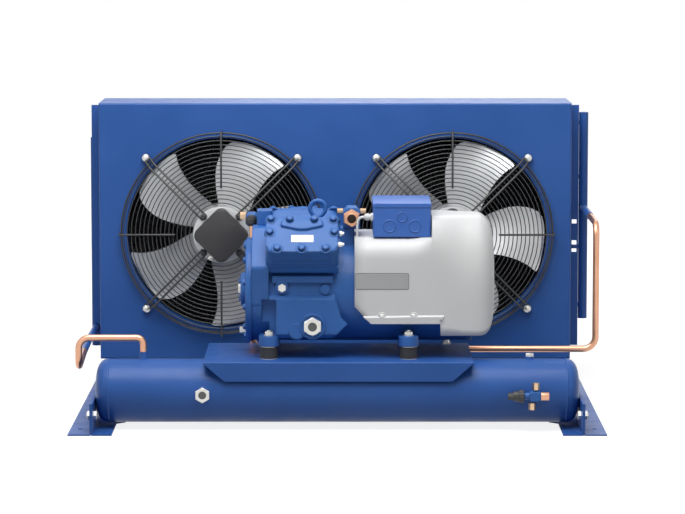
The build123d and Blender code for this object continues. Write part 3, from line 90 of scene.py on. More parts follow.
class Finish:
    """A surface finish: one Principled shader, its steady values, and the nodes that feed it."""

    def __init__(self, name, **steady):
        self.material = bpy.data.materials.new(name)
        self.material.use_nodes = True
        self.tree = self.material.node_tree
        self.shader = self.tree.nodes["Principled BSDF"]
        for socket, value in steady.items():
            self.shader.inputs[socket.replace("_", " ")].default_value = value
        self.place = self.node("ShaderNodeTexCoord", {}, {}, "Object")

    def node(self, kind, settings, sockets, output=0):
        made = self.tree.nodes.new(kind)
        for setting, value in settings.items():
            setattr(made, setting, value)
        for socket, value in sockets.items():
            if isinstance(value, Tone):
                self.tree.links.new(value.socket, made.inputs[socket])
            else:
                made.inputs[socket].default_value = value
        return Tone(self, made.outputs[output])

    def mottle(self, scale, low=0.0, high=1.0, detail=3.0, stretch=(1, 1, 1)):
        """Soft patches that run from 0 to 1 between two levels of a noise."""
        where = self.node("ShaderNodeMapping", {}, {"Vector": self.place, "Scale": stretch})
        noise = self.node("ShaderNodeTexNoise", {}, {"Vector": where, "Scale": scale, "Detail": detail})
        return self.node("ShaderNodeMapRange", {}, {"Value": noise, "From Min": low, "From Max": high})

    def between(self, mask, one, two):
        """One colour where the mask is 0, the other where it is 1."""
        return self.node("ShaderNodeMix", {"data_type": "RGBA"}, {0: mask, 6: one, 7: two}, 2)

    def relief(self, height, depth, rounding=0.0):
        """Bump of a given depth in metres, on edges rounded by a small radius."""
        sockets = {"Height": height, "Distance": depth, "Strength": 1.0}
        if rounding:
            sockets["Normal"] = self.node("ShaderNodeBevel", {"samples": 6}, {"Radius": rounding})
        return self.node("ShaderNodeBump", {}, sockets)

    def feed(self, **tones):
        for socket, tone in tones.items():
            self.tree.links.new(tone.socket, self.shader.inputs[socket.replace("_", " ")])

    def coat(self, patches, one, two, least, spread, uneven, bump=None):
        """Two close colours in soft patches, a roughness from least upward that varies by spread,
        and a fine bump of (scale, depth, rounding). Patches and uneven are what mottle takes."""
        self.feed(Base_Color=self.between(self.mottle(*patches), (*one, 1), (*two, 1)),
                  Roughness=least + spread * self.mottle(*uneven))
        if bump:
            self.feed(Normal=self.relief(self.mottle(bump[0]), *bump[1:]))


studio_paper = Finish("studio_paper", Roughness=0.9, Specular_IOR_Level=0.0, Emission_Strength=1.0)
grain = studio_paper.mottle(3.0, 0.3, 0.7)
shown_to = ("Is Camera Ray", "Is Glossy Ray", "Is Transmission Ray")
seen = studio_paper.node("ShaderNodeLightPath", {}, {}, shown_to[0])
for ray in shown_to[1:]:
    seen = seen + studio_paper.node("ShaderNodeLightPath", {}, {}, ray)
away = studio_paper.node("ShaderNodeVectorMath", {"operation": "LENGTH"}, {0: studio_paper.place},
                         "Value")
away = studio_paper.node("ShaderNodeMapRange", {}, {"Value": away, "From Min": 0.9, "From Max": 2.6})
glow = studio_paper.between(away, (0.84, 0.84, 0.84, 1), (1, 1, 1, 1))
studio_paper.feed(Base_Color=studio_paper.between(grain, (0.34, 0.34, 0.34, 1), (0.36, 0.36, 0.36, 1)),
                  Emission_Color=studio_paper.between(seen, (0, 0, 0, 1), glow))
floor_mesh.materials.append(studio_paper.material)

world = bpy.data.worlds.new("studio")
scene.world = world
world.use_nodes = True
backdrop = world.node_tree.nodes["Background"]
backdrop.inputs["Color"].default_value = (1, 1, 1, 1)
path = world.node_tree.nodes.new("ShaderNodeLightPath")
white = world.node_tree.nodes.new("ShaderNodeMapRange")
white.inputs["To Min"].default_value, white.inputs["To Max"].default_value = 0.22, 1.0
sight = path.outputs[shown_to[0]]
for ray in shown_to[1:]:
    either = world.node_tree.nodes.new("ShaderNodeMath")
    world.node_tree.links.new(sight, either.inputs[0])
    world.node_tree.links.new(path.outputs[ray], either.inputs[1])
    sight = either.outputs["Value"]
world.node_tree.links.new(sight, white.inputs["Value"])
world.node_tree.links.new(white.outputs["Result"], backdrop.inputs["Strength"])
aim = Vector((0, 0, 0.3))
for lamp_name, place, size, power in (
        ("soft_overhead", (-0.2, -1.0, 2.3), 1.8, 60), ("soft_front_left", (-3.4, -4.4, 2.6), 2.0, 16),
        ("soft_right", (3.6, -2.6, 2.2), 1.6, 9), ("soft_back", (0.5, 3.6, 2.6), 2.0, 30)):
    lamp = bpy.data.lights.new(lamp_name, "AREA")
    lamp.size, lamp.energy = size, power
    lamp_object = bpy.data.objects.new(lamp_name, lamp)
    lamp_object.location = place
    lamp_object.rotation_euler = (aim - Vector(place)).to_track_quat("-Z", "Y").to_euler()
    scene.collection.objects.link(lamp_object)

# ---- Frame: two pressed rails, the receiver's brackets, a cross-beam and the condenser's brackets,
# folded from 3 mm sheet, bolted and welded, and sprayed blue after welding.
sheet_blue = Finish("blue_sheet_enamel", Specular_IOR_Level=0.25, Coat_Weight=0.06, Coat_Roughness=0.15)
sheet_blue.coat((7.0, 0.35, 0.65), (0.024, 0.096, 0.345), (0.030, 0.108, 0.375),
                0.36, 0.12, (22.0, 0.3, 0.7), (700.0, 0.00008, 0.0012))


def dress(finish, *nodes):
    """Give CAD nodes whose shape is right their finish."""
    for name in nodes:
        part = frame["nodes"][name]
        part.data.materials.clear()
        part.data.materials.append(finish.material)


dress(sheet_blue, "rail_left", "rail_right", "receiver_foot_left", "receiver_foot_right",
      "condenser_brackets", "cross_beam")

# Frame bolts: zinc-plated steel, with hexagon heads inside and nuts on flat washers outside, and a few
# threads past each nut. They hold the receiver's brackets to the rails.
zinc = Finish("zinc_plate", Metallic=1.0)
zinc.coat((60.0,), (0.52, 0.52, 0.5), (0.7, 0.69, 0.66), 0.3, 0.15, (120.0,), (900.0, 0.00005))


def turn(mesh, outline, foot, way, sides=48, twist=0.0, hollow=False):
    """Add a turned part to a bmesh: outline is (distance along, radius) from the foot, along way.
    A hollow one is a ring whose outline closes on itself, and any other has a cap at each end."""
    spin = Vector((0, 0, 1)).rotation_difference(Vector(way)).to_matrix()
    rings = []
    for along, radius in outline:
        ring = []
        for side in range(sides):
            angle = 2 * pi * side / sides + twist
            offset = spin @ Vector((radius * cos(angle), radius * sin(angle), along))
            ring.append(mesh.verts.new(Vector(foot) + offset))
        rings.append(ring)
    for low, high in zip(rings, rings[1:] + (rings[:1] if hollow else [])):
        for side in range(sides):
            after = (side + 1) % sides
            mesh.faces.new((low[side], low[after], high[after], high[side]))
    if not hollow:
        mesh.faces.new(rings[0][::-1])
        mesh.faces.new(rings[-1])


def hexagon_head(mesh, foot, way, flats, height, washer=0.0):
    """A hexagon with bevelled corners, on a washer of the given thickness."""
    corner = flats / sqrt(3)
    start = Vector(foot)
    if washer:
        rim = flats * 0.72
        turn(mesh, [(0, rim), (washer * 0.8, rim), (washer, flats * 0.69)], start, way, 32)
        start = start + Vector(way) * washer
    turn(mesh, [(0, corner), (height * 0.8, corner), (height, corner * 0.87)], start, way, 6, pi / 6)


def fit(name, shape, finish, body="unit", stands_for=(), sharp=32):
    """Turn a bmesh or a curve into a piece: shade it, give it its finish, and ride it on its body."""
    if isinstance(shape, bmesh.types.BMesh):
        bmesh.ops.recalc_face_normals(shape, faces=shape.faces)
        data = bpy.data.meshes.new(name)
        shape.to_mesh(data)
        shape.free()
        for face in data.polygons:
            face.use_smooth = True
        data.set_sharp_from_angle(angle=radians(sharp))
    else:
        data = shape
    piece = bpy.data.objects.new(name, data)
    scene.collection.objects.link(piece)
    data.materials.append(finish.material)
    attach(piece, body)
    if stands_for:
        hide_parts(*stands_for)
    return piece


bolt_low, bolt_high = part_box("frame_bolts")
bolts = bmesh.new()
bracket_in, web_out, flats, shank = 0.534, 0.540, 0.0185, 0.006
height = (bolt_low.z + bolt_high.z) / 2
thread = [(0, shank)] + [(0.001 * step, shank - 0.0004 * (step % 2)) for step in range(1, 10)]
for side in (-1, 1):
    for depth in (bolt_low.y + 0.01, bolt_high.y - 0.01):
        hexagon_head(bolts, (side * bracket_in, depth, height), (-side, 0, 0), flats, 0.0075)
        hexagon_head(bolts, (side * web_out, depth, height), (side, 0, 0), flats, 0.0072, 0.0015)
        turn(bolts, thread, (side * (web_out + 0.001), depth, height), (side, 0, 0), 24)
fit("frame_bolts_and_nuts", bolts, zinc, stands_for=["frame_bolts"])

# ---- Liquid receiver: a length of steel tube with dished ends, welded all round, sprayed blue.
# It is held at both ends by the brackets.
tank_r, tank_y, tank_z, tank_end, tank_head = 0.070, -0.326, 0.082, 0.534, 0.026
tank = bmesh.new()
dish = [(tank_end - tank_head * (1 - sin(step * pi / 24)), tank_r * cos(step * pi / 24) ** 0.55)
        for step in range(12)]
seam = tank_end - tank_head
bead = tank_r + 0.0012
right_half = [(seam - 0.006, tank_r), (seam - 0.004, bead), (seam - 0.0015, bead)] + dish
whole = [(-along, radius) for along, radius in reversed(right_half)] + right_half
turn(tank, [(along + tank_end, radius) for along, radius in whole], (-tank_end, tank_y, tank_z),
     (1, 0, 0), 96)
inlet_x, inlet_top, plug_x, plug_top, stub_foot = -0.4286, 0.1685, 0.425, 0.158, 0.148
for x, top, radius in ((inlet_x, inlet_top, 0.009), (plug_x, plug_top, 0.010)):
    turn(tank, [(0, radius + 0.003), (0.003, radius + 0.0015), (0.006, radius),
                (top - stub_foot, radius)], (x, tank_y, stub_foot), (0, 0, 1), 32)
glass_x, outlet_x, boss_y = -0.296, 0.4325, -0.388
turn(tank, [(0, 0.021), (0.004, 0.019), (0.007, 0.0175), (0.010, 0.0175)], (glass_x, boss_y, tank_z),
     (0, -1, 0), 40)
turn(tank, [(0, 0.013), (0.004, 0.011), (0.0165, 0.010)], (outlet_x, boss_y, tank_z), (0, -1, 0), 32)
fit("receiver_tank", tank, sheet_blue, stands_for=["receiver_shell"], sharp=28)

# Plug: a zinc-plated hexagon, screwed into the stub on the tank's top.
plug = bmesh.new()
hexagon_head(plug, (plug_x, tank_y, plug_top), (0, 0, 1), 0.017, 0.007)
fit("receiver_plug_head", plug, zinc, stands_for=["receiver_plug"])

# The two sight glasses, on the tank and on the sump: plated hexagon rings with a flat lip, each round
# a glossy disc of fused glass, coloured near black as painted shade for the unlit inside behind it.
# The sump's ring is screwed into a boss, painted with the casting.
rings, lenses = bmesh.new(), bmesh.new()
tank_glass = (glass_x, -0.398, tank_z)
oil_glass = (-0.0548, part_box("sight_glass_lenses")[1].y, 0.2275)
for seat, flats, clear, depth in ((tank_glass, 0.030, 0.00875, 0.006),
                                  (oil_glass, 0.037, 0.010, 0.008)):
    corner = flats / sqrt(3)
    lip = corner * 0.84
    turn(rings, [(0, corner), (depth * 0.72, corner), (depth * 0.9, corner * 0.9)], seat, (0, -1, 0),
         6, pi / 6)
    turn(rings, [(depth * 0.5, lip), (depth * 0.95, lip), (depth, corner * 0.8), (depth, clear),
                 (depth * 0.45, clear - 0.0004)], seat, (0, -1, 0), 48)
    turn(lenses, [(depth * 0.4, clear), (depth * 0.91, clear), (depth * 0.93, clear * 0.8),
                  (depth * 0.95, clear * 0.3)], seat, (0, -1, 0), 40)
fit("sight_glass_hexagons", rings, zinc, stands_for=["sight_glass_rings"])
# The glass is glossy, and its near-black colour is painted shade for the unlit inside seen through it.
dark_glass = Finish("dark_sight_glass", Coat_Weight=1.0, Coat_Roughness=0.03)
dark_glass.coat((90.0,), (0.022, 0.024, 0.026), (0.04, 0.042, 0.044), 0.2, 0.1, (60.0,))
fit("sight_glass_discs", lenses, dark_glass, stands_for=["sight_glass_lenses"])
cast_blue = Finish("blue_casting_enamel", Specular_IOR_Level=0.3, Coat_Weight=0.1, Coat_Roughness=0.18)
cast_blue.coat((14.0, 0.3, 0.7), (0.026, 0.118, 0.38), (0.034, 0.138, 0.43), 0.38, 0.15, (30.0,),
               (260.0, 0.0003, 0.0055))
boss = bmesh.new()
turn(boss, [(-0.006, 0.0215), (0.0006, 0.0215), (0.001, 0.0243), (0.0024, 0.0253), (0.0024, 0.0273),
            (0.0014, 0.0284), (-0.006, 0.0287)], oil_glass, (0, -1, 0), 64, hollow=True)
fit("oil_glass_boss", boss, cast_blue, sharp=50)

# Outlet valve of the receiver: a forging screwed into the tank and painted with it, with a black
# moulded stem cap and two brass service caps.
dress(cast_blue, "receiver_valve_body")
black = Finish("black_moulding")
black.coat((40.0,), (0.028, 0.028, 0.03), (0.042, 0.042, 0.045), 0.42, 0.1, (60.0,),
           (900.0, 0.0001, 0.0012))


def stem_cap(name, foot, way, length, radius, node):
    """Moulded screw cap with a fluted grip, a waist and a hexagon nose."""
    cap = bmesh.new()
    third, nose, grip = length / 3, radius * 0.62, radius * 0.99
    turn(cap, [(0, radius * 0.92), (0.001, radius), (third * 0.9, radius), (third, radius * 0.94),
               (third, radius * 0.82), (third * 2, radius * 0.8)], foot, way, 48)
    turn(cap, [(third * 1.9, nose), (length - 0.001, nose), (length, radius * 0.55)], foot, way,
         6, pi / 6)
    spin = Vector((0, 0, 1)).rotation_difference(Vector(way)).to_matrix()
    for number in range(16):
        angle = 2 * pi * number / 16
        rib = Vector(foot) + spin @ Vector((grip * cos(angle), grip * sin(angle), third * 0.12))
        turn(cap, [(0, 0.0008), (third * 0.7, 0.0008)], rib, way, 8)
    fit(name, cap, black, stands_for=[node])


outlet_y = -0.416
valve_low, valve_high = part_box("receiver_valve_cap")
stem_cap("receiver_stem_cap", (valve_high.x, outlet_y, tank_z), (-1, 0, 0), valve_high.x - valve_low.x,
         0.0138, "receiver_valve_cap")

brass = Finish("brass", Metallic=1.0)
brass.coat((80.0,), (0.72, 0.52, 0.34), (0.6, 0.42, 0.26), 0.28, 0.15, (50.0,),
           (600.0, 0.00005, 0.0008))
dress(brass, "service_port_caps", "main_bearings")

# ---- Base plate of the compressor: folded sheet on the tank and the cross-beam, with a turned-down
# front and back flange; four rubber mounts with bonded studs stand on it.
dress(sheet_blue, "base_plate")
rubber = Finish("moulded_rubber")
rubber.coat((40.0,), (0.022, 0.022, 0.022), (0.04, 0.04, 0.04), 0.6, 0.15, (60.0,), (500.0, 0.0001))
mounts, studs = bmesh.new(), bmesh.new()
plate_top, lug_top, washer_top, disc = 0.155, 0.206, 0.2085, 0.0195
for x in (-0.151, 0.157):
    for y in (-0.338, -0.114):
        turn(mounts, [(0.0012, 0.0185), (0.002, 0.0197), (0.014, 0.0193), (0.026, 0.0197),
                      (0.0268, 0.0185)], (x, y, plate_top), (0, 0, 1))
        turn(studs, [(0, disc), (0.0012, disc)], (x, y, plate_top), (0, 0, 1))
        turn(studs, [(0.0268, disc), (0.028, disc)], (x, y, plate_top), (0, 0, 1))
        turn(studs, [(0, 0.0119), (0.002, 0.0119), (0.0025, 0.0112)], (x, y, lug_top), (0, 0, 1))
        hexagon_head(studs, (x, y, washer_top), (0, 0, 1), 0.017, 0.007)
        turn(studs, [(0, 0.0048), (0.0092, 0.0048), (0.0095, 0.004)], (x, y, washer_top), (0, 0, 1), 24)
fit("rubber_buffers", mounts, rubber, stands_for=["rubber_mounts"])
fit("mount_studs", studs, zinc, stands_for=["mount_bolts"])

# ---- Compressor housing: a grey-iron casting with a motor barrel, an oil sump, feet and two banks
# at right angles, machined on the decks and painted blue when assembled.
dress(cast_blue, "crankcase", "valve_plate_front", "valve_plate_rear", "suction_valve_body",
      "discharge_valve_body")
dress(zinc, "oil_plugs", "crankshaft", "motor_rotor", "pipe_clip")
winding = Finish("varnished_winding")
winding.coat((90.0,), (0.16, 0.08, 0.04), (0.3, 0.16, 0.07), 0.4, 0.2, (50.0,))
dress(winding, "motor_stator")

# Cylinder heads: cast covers with a raised dome that ends in a shallow vee, held by nine hexagon
# bolts each. A blank plate sits in the middle of the front one.
crank = Vector((0, -0.226, 0.295))
head_foot, head_thick = 0.149, 0.046
face = head_foot + head_thick
head_mid, head_half_x, head_half_v = -0.0776, 0.080, 0.050


def slab(mesh, outline, low, high, rounding=0.0, segments=4, placed=Matrix.Identity(4)):
    """Add a flat part with a given outline, with its upper edge rounded over."""
    lower = [mesh.verts.new(placed @ Vector((x, y, low))) for x, y in outline]
    upper = [mesh.verts.new(placed @ Vector((x, y, high))) for x, y in outline]
    count = len(outline)
    mesh.faces.new(lower[::-1])
    top = mesh.faces.new(upper)
    for number in range(count):
        after = (number + 1) % count
        mesh.faces.new((lower[number], lower[after], upper[after], upper[number]))
    if rounding:
        bmesh.ops.bevel(mesh, geom=list(top.edges), offset=rounding, segments=segments, profile=0.5,
                        affect="EDGES")


def rounded(half_x, half_y, corner, middle=(0, 0), steps=6):
    """Outline of a rectangle with round corners."""
    points = []
    for sx, sy, start in ((1, 1, 0), (-1, 1, pi / 2), (-1, -1, pi), (1, -1, 3 * pi / 2)):
        for step in range(steps + 1):
            angle = start + pi / 2 * step / steps
            points.append((middle[0] + sx * (half_x - corner) + corner * cos(angle),
                           middle[1] + sy * (half_y - corner) + corner * sin(angle)))
    return points


head_bolts = bmesh.new()
for side, node in ((-1, "cylinder_head_front"), (1, "cylinder_head_rear")):
    on_bank = Matrix.Translation(crank) @ Matrix.Rotation(-side * pi / 4, 4, "X")
    cover = bmesh.new()
    slab(cover, rounded(head_half_x, head_half_v, 0.016, (head_mid, 0)), head_foot,
         head_foot + 0.0125, 0.001, 2, on_bank)
    slab(cover, rounded(head_half_x - 0.0012, head_half_v - 0.0012, 0.016, (head_mid, 0)),
         head_foot + 0.011, face, 0.006, 5, on_bank)
    up = -side
    dome = [(-0.046, 0.021), (-0.009, 0.011), (0.009, 0.011), (0.046, 0.021), (0.046, 0.031),
            (0.040, 0.041), (0.028, 0.0475), (0.0, 0.0495), (-0.028, 0.0475), (-0.040, 0.041),
            (-0.046, 0.031)]
    dome = [(head_mid + x, up * v) for x, v in dome]
    slab(cover, dome if up > 0 else dome[::-1], face - 0.002, face + 0.0058, 0.0025, 3, on_bank)
    pads = [(-0.0685, 0.042, 0), (0.0685, 0.042, 0), (-0.071, 0.005, 0), (0.071, 0.005, 0),
            (-0.054, -0.041, 0), (0.0, -0.041, 0), (0.052, -0.041, 0),
            (-0.027, 0.037, 0.006), (0.027, 0.037, 0.006)]
    axis = on_bank.to_3x3() @ Vector((0, 0, 1))
    for x, v, rise in pads:
        seat = on_bank @ Vector((head_mid + x, up * v, face + rise - 0.0004))
        if not rise:
            turn(cover, [(-0.004, 0.0125), (0.0008, 0.0122), (0.0012, 0.0116)], seat, axis, 32)
        hexagon_head(head_bolts, seat + axis * 0.001, axis, 0.0128, 0.0062, 0.0012)
    fit("head_cover_front" if side < 0 else "head_cover_rear", cover, cast_blue,
        stands_for=[node], sharp=40)
    if side < 0:
        plate_finish = Finish("blank_plate_enamel", Coat_Weight=0.4)
        plate_finish.coat((60.0,), (0.78, 0.79, 0.8), (0.84, 0.85, 0.86), 0.3, 0.1, (90.0,))
        blank = bmesh.new()
        slab(blank, rounded(0.0245, 0.0100, 0.002, (head_mid + 0.001, -0.0125 * up)), face - 0.0002,
             face + 0.0007, 0.0003, 2, on_bank)
        fit("blank_head_plate", blank, plate_finish)
        ports = bmesh.new()
        for v in (0.021, -0.010):
            at = on_bank @ Vector((head_mid + head_half_x - 0.0014, v, head_foot + head_thick / 2))
            turn(ports, [(0, 0.0062), (0.003, 0.0062), (0.0035, 0.0056)], at, (1, 0, 0), 24)
            hexagon_head(ports, at + Vector((0.0034, 0, 0)), (1, 0, 0), 0.0105, 0.0062)
            turn(ports, [(0.009, 0.0036), (0.0135, 0.0036), (0.014, 0.003)], at, (1, 0, 0), 24)
        fit("head_gauge_ports", ports, zinc)
fit("head_cover_bolts", head_bolts, cast_blue, stands_for=["head_bolts"])

# End cover: a turned iron disc that closes the crank chamber, with a ring of bolts. A smaller disc
# in its middle covers the bearing.
end_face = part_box("end_cover")[0].x
cover = bmesh.new()
turn(cover, [(0, 0.116), (0.0115, 0.116), (0.0125, 0.1155), (0.014, 0.1135), (0.014, 0.090),
             (0.0125, 0.088), (0.0125, 0.046), (0.014, 0.044), (0.0142, 0.040)],
     (end_face + 0.014, crank.y, crank.z), (-1, 0, 0), 96)
fit("end_cover_disc", cover, cast_blue, stands_for=["end_cover"])
cover = bmesh.new()
bearing_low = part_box("bearing_cover")[0].x
thick = end_face - bearing_low
turn(cover, [(0, 0.038), (thick - 0.003, 0.038), (thick - 0.001, 0.037), (thick, 0.035), (thick, 0.018),
             (thick - 0.002, 0.017)], (end_face, crank.y, crank.z), (-1, 0, 0), 64)
fit("bearing_cover_disc", cover, cast_blue, stands_for=["bearing_cover"])
ring_bolts = bmesh.new()
for count, circle, x, flats, height, washer in ((12, 0.104, end_face, 0.0128, 0.0048, 0.001),
                                                (4, 0.028, bearing_low, 0.009, 0.004, 0)):
    for number in range(count):
        angle = 2 * pi * (number + 0.5) / count
        at = (x, crank.y + circle * cos(angle), crank.z + circle * sin(angle))
        hexagon_head(ring_bolts, at, (-1, 0, 0), flats, height, washer)
fit("end_cover_ring_bolts", ring_bolts, cast_blue, stands_for=["end_cover_bolts"])

# Lifting eye: a drop-forged ring on a stem with a collar, screwed into the top of the housing and
# painted over with it.
eye_low, eye_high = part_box("lifting_eye")
eye_mid = Vector(((eye_low.x + eye_high.x) / 2, crank.y, eye_high.z - 0.022))
eye_r, eye_wire = 0.0169, 0.005
eye = bmesh.new()
rings = []
for step in range(64):
    angle = 2 * pi * step / 64
    ring = []
    for side in range(20):
        tilt = 2 * pi * side / 20
        out = eye_r + eye_wire * cos(tilt)
        offset = Vector((out * cos(angle), eye_wire * sin(tilt), out * sin(angle)))
        ring.append(eye.verts.new(eye_mid + offset))
    rings.append(ring)
for number in range(64):
    low, high = rings[number], rings[(number + 1) % 64]
    for side in range(20):
        after = (side + 1) % 20
        eye.faces.new((low[side], high[side], high[after], low[after]))
turn(eye, [(0, 0.013), (0.004, 0.013), (0.006, 0.0115), (0.009, 0.0075), (0.0240, 0.0068)],
     (eye_mid.x, crank.y, eye_low.z), (0, 0, 1), 32)
fit("lifting_eye_ring", eye, cast_blue, stands_for=["lifting_eye"], sharp=50)

# ---- Suction valve: forged block on the motor housing with a copper flare nut that faces the front,
# and the copper end of the receiver's outlet, both open for the plant's pipes.
copper = Finish("copper_tube", Metallic=1.0)
copper.coat((26.0,), (0.74, 0.42, 0.28), (0.62, 0.32, 0.20), 0.26, 0.16, (50.0,), (300.0, 0.00008))
nut = bmesh.new()
nut_at = Vector((0.0316, -0.278, 0.461))
mouth = 0.028
turn(nut, [(0, 0.0202), (0.019, 0.0202), (0.022, 0.0178), (0.022, 0.0125), (0, 0.0125)], nut_at,
     (0, -1, 0), 6, pi / 6, hollow=True)
turn(nut, [(0, 0.0098), (mouth, 0.010), (mouth, 0.0118), (mouth - 0.0007, 0.0124), (0.0226, 0.0124),
           (0.0226, 0.0148), (0, 0.0148)], nut_at, (0, -1, 0), 48, hollow=True)
outlet_start = 0.445
turn(nut, [(0, 0.0078), (0.0175, 0.008), (0.018, 0.0083), (0.018, 0.0088), (0.0175, 0.009),
           (0, 0.009)], (outlet_start, outlet_y, tank_z), (1, 0, 0), 48, hollow=True)
fit("open_connection_ends", nut, copper, stands_for=["connection_tubes"])
# Painted shade: a black disc a little way down the nut's bore stands for the dark inside of the open
# bore.
bore = bmesh.new()
turn(bore, [(0, 0.0097), (0.001, 0.0097)], nut_at + Vector((0, -0.0045, 0)), (0, -1, 0), 32)
fit("suction_bore_painted_shade", bore, black)

# Discharge valve: its stem cap is the same moulding as the receiver's, a size smaller.
discharge_x, discharge_z = -0.194, 0.445
valve_low, valve_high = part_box("discharge_valve_cap")
stem_cap("discharge_stem_cap", (discharge_x, valve_high.y, discharge_z), (0, -1, 0),
         valve_high.y - valve_low.y, 0.0124, "discharge_valve_cap")

# ---- Terminal box: a blue moulding with three blind knock-outs, set on the motor housing, and a lid
# that overlaps it, held by a screw at each corner.
box_blue = Finish("blue_box_moulding", Coat_Weight=0.1, Coat_Roughness=0.3)
box_blue.coat((14.0, 0.3, 0.7), (0.030, 0.115, 0.43), (0.038, 0.135, 0.47), 0.4, 0.1, (30.0,),
              (900.0, 0.00008, 0.0016))
box_low, box_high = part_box("terminal_box")
lid_low, lid_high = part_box("terminal_box_lid")
case = bmesh.new()
middle = ((box_low.x + box_high.x) / 2, (box_low.y + box_high.y) / 2)
half = ((box_high.x - box_low.x) / 2, (box_high.y - box_low.y) / 2)
slab(case, rounded(half[0], half[1], 0.005, middle), box_low.z, box_high.z, 0.0005, 2)
for x, z, radius in ((0.115, 0.447, 0.013), (0.143, 0.467, 0.0105), (0.171, 0.447, 0.013)):
    turn(case, [(-0.001, radius + 0.001), (0.0012, radius + 0.001), (0.0016, radius + 0.0004),
                (0.0016, radius - 0.0006), (0.0004, radius - 0.0016), (0.0004, radius * 0.6)],
         (x, box_low.y, z), (0, -1, 0), 48)
fit("terminal_case", case, box_blue, stands_for=["terminal_box"])
lid = bmesh.new()
half = ((lid_high.x - lid_low.x) / 2, (lid_high.y - lid_low.y) / 2)
slab(lid, rounded(half[0], half[1], 0.006, middle), lid_low.z, lid_high.z, 0.0045, 5)
for x in (middle[0] - half[0] + 0.013, middle[0] + half[0] - 0.013):
    for y in (middle[1] - half[1] + 0.013, middle[1] + half[1] - 0.013):
        turn(lid, [(0, 0.0055), (0.0008, 0.0055), (0.0012, 0.005)], (x, y, lid_high.z - 0.0008),
             (0, 0, 1), 24)
fit("terminal_lid", lid, box_blue, stands_for=["terminal_box_lid"])

# Cable gland: a pale grey nylon nut and dome in the side of the box. It clamps the captive lead,
# which drops from there to the compressor housing.
pale = Finish("pale_grey_moulding")
pale.coat((30.0,), (0.6, 0.61, 0.62), (0.68, 0.69, 0.7), 0.4, 0.1, (60.0,), (900.0, 0.00006))
gland = bmesh.new()
gland_y, gland_z = -0.312, 0.466
wall = Vector((box_low.x, gland_y, gland_z))
turn(gland, [(0, 0.0092), (0.005, 0.0092), (0.006, 0.0085)], wall, (-1, 0, 0), 6)
turn(gland, [(0.005, 0.0062), (0.010, 0.0062)], wall, (-1, 0, 0), 32)
turn(gland, [(0.009, 0.0078), (0.015, 0.0078), (0.018, 0.0066), (0.020, 0.0042)], wall, (-1, 0, 0), 12)
fit("gland_nut_and_dome", gland, pale, stands_for=["cable_gland"])


def curve_line(lines, radius, order=0):
    """A round wire or tube along one or more lines of points; order 3 or 4 makes them smooth."""
    data = bpy.data.curves.new("line", "CURVE")
    data.dimensions = "3D"
    data.bevel_depth, data.bevel_resolution, data.use_fill_caps = radius, 4, True
    data.resolution_u = 12
    for line in lines:
        spline = data.splines.new("NURBS" if order else "POLY")
        spline.points.add(len(line) - 1)
        for point, place in zip(spline.points, line):
            point.co = (*place, 1)
        if order:
            spline.order_u, spline.use_endpoint_u = order, True
    return data


lead_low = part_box("sensor_cable")[0]
entry = lead_low.x + 0.003
lead = [(x, gland_y, z) for x, z in (
    (0.073, gland_z), (0.062, gland_z), (0.052, 0.4655), (0.0455, 0.460),
    (entry, 0.448), (entry, 0.436), (entry, 0.425), (entry, lead_low.z + 0.001))]
fit("sensor_lead", curve_line([lead], 0.0029, 3), pale, stands_for=["sensor_cable"])

# ---- Motor cover: a light grey moulding over the motor end, open underneath, with a rounded
# shoulder, a bowed end and two screws in a step along its foot.
grey = Finish("light_grey_moulding", Coat_Weight=0.15, Coat_Roughness=0.3)
grey.coat((12.0,), (0.61, 0.615, 0.62), (0.65, 0.655, 0.66), 0.42, 0.08, (60.0,), (800.0, 0.00008))
cover_low, cover_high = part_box("motor_cover")
front_y, back_y = cover_low.y, cover_high.y
# Stations: along, top, bottom, depth of the shoulder's curve, how far it leans back, end rounding.
stations = [
    (0.038, 0.422, 0.2715, 0.050, 0.046, 0.0), (0.073, 0.422, 0.233, 0.050, 0.046, 0.0),
    (0.155, 0.422, 0.233, 0.050, 0.046, 0.0), (0.168, 0.422, 0.233, 0.0495, 0.043, 0.0),
    (0.180, 0.422, 0.233, 0.047, 0.035, 0.0), (0.190, 0.422, 0.233, 0.044, 0.025, 0.0),
    (0.199, 0.422, 0.233, 0.040, 0.014, 0.0), (0.2072, 0.422, 0.233, 0.036, 0.006, 0.0),
    (0.2085, 0.467, 0.233, 0.082, 0.052, 0.0), (0.2265, 0.467, 0.233, 0.098, 0.056, 0.0),
    (0.2275, 0.467, 0.207, 0.099, 0.056, 0.0), (0.245, 0.467, 0.207, 0.121, 0.066, 0.0),
    (0.262, 0.467, 0.207, 0.145, 0.076, 0.0), (0.280, 0.467, 0.207, 0.168, 0.086, 0.0),
    (0.300, 0.467, 0.207, 0.172, 0.088, 0.0005), (0.313, 0.4665, 0.207, 0.172, 0.088, 0.002),
    (0.320, 0.4645, 0.2075, 0.170, 0.088, 0.004), (0.327, 0.460, 0.210, 0.166, 0.088, 0.007),
    (0.333, 0.4535, 0.2155, 0.160, 0.086, 0.011), (0.338, 0.4455, 0.224, 0.152, 0.084, 0.016),
    (0.342, 0.435, 0.237, 0.140, 0.080, 0.022), (0.3445, 0.423, 0.254, 0.128, 0.076, 0.028),
    (0.3462, 0.405, 0.282, 0.100, 0.064, 0.036), (0.347, 0.380, 0.320, 0.050, 0.034, 0.045)]
shell = bmesh.new()
sections = []
for along, top, foot, curve, lean, close in stations:
    wall_y = front_y + close
    section = [(wall_y, foot)]
    straight = top - curve
    for step in range(1, 7):
        section.append((wall_y, foot + (straight - foot) * step / 7))
    for step in range(13):
        angle = pi / 2 * step / 12
        section.append((wall_y + lean * (1 - cos(angle)) ** 1.15, straight + curve * sin(angle)))
    start = wall_y + lean
    for step in range(1, 6):
        section.append((start + (back_y - close - lean - start) * step / 6, top))
    mirrored_half = [(front_y + back_y - y, z) for y, z in section[:20]]
    section += mirrored_half[::-1]
    sections.append([shell.verts.new((along, y, z)) for y, z in section])
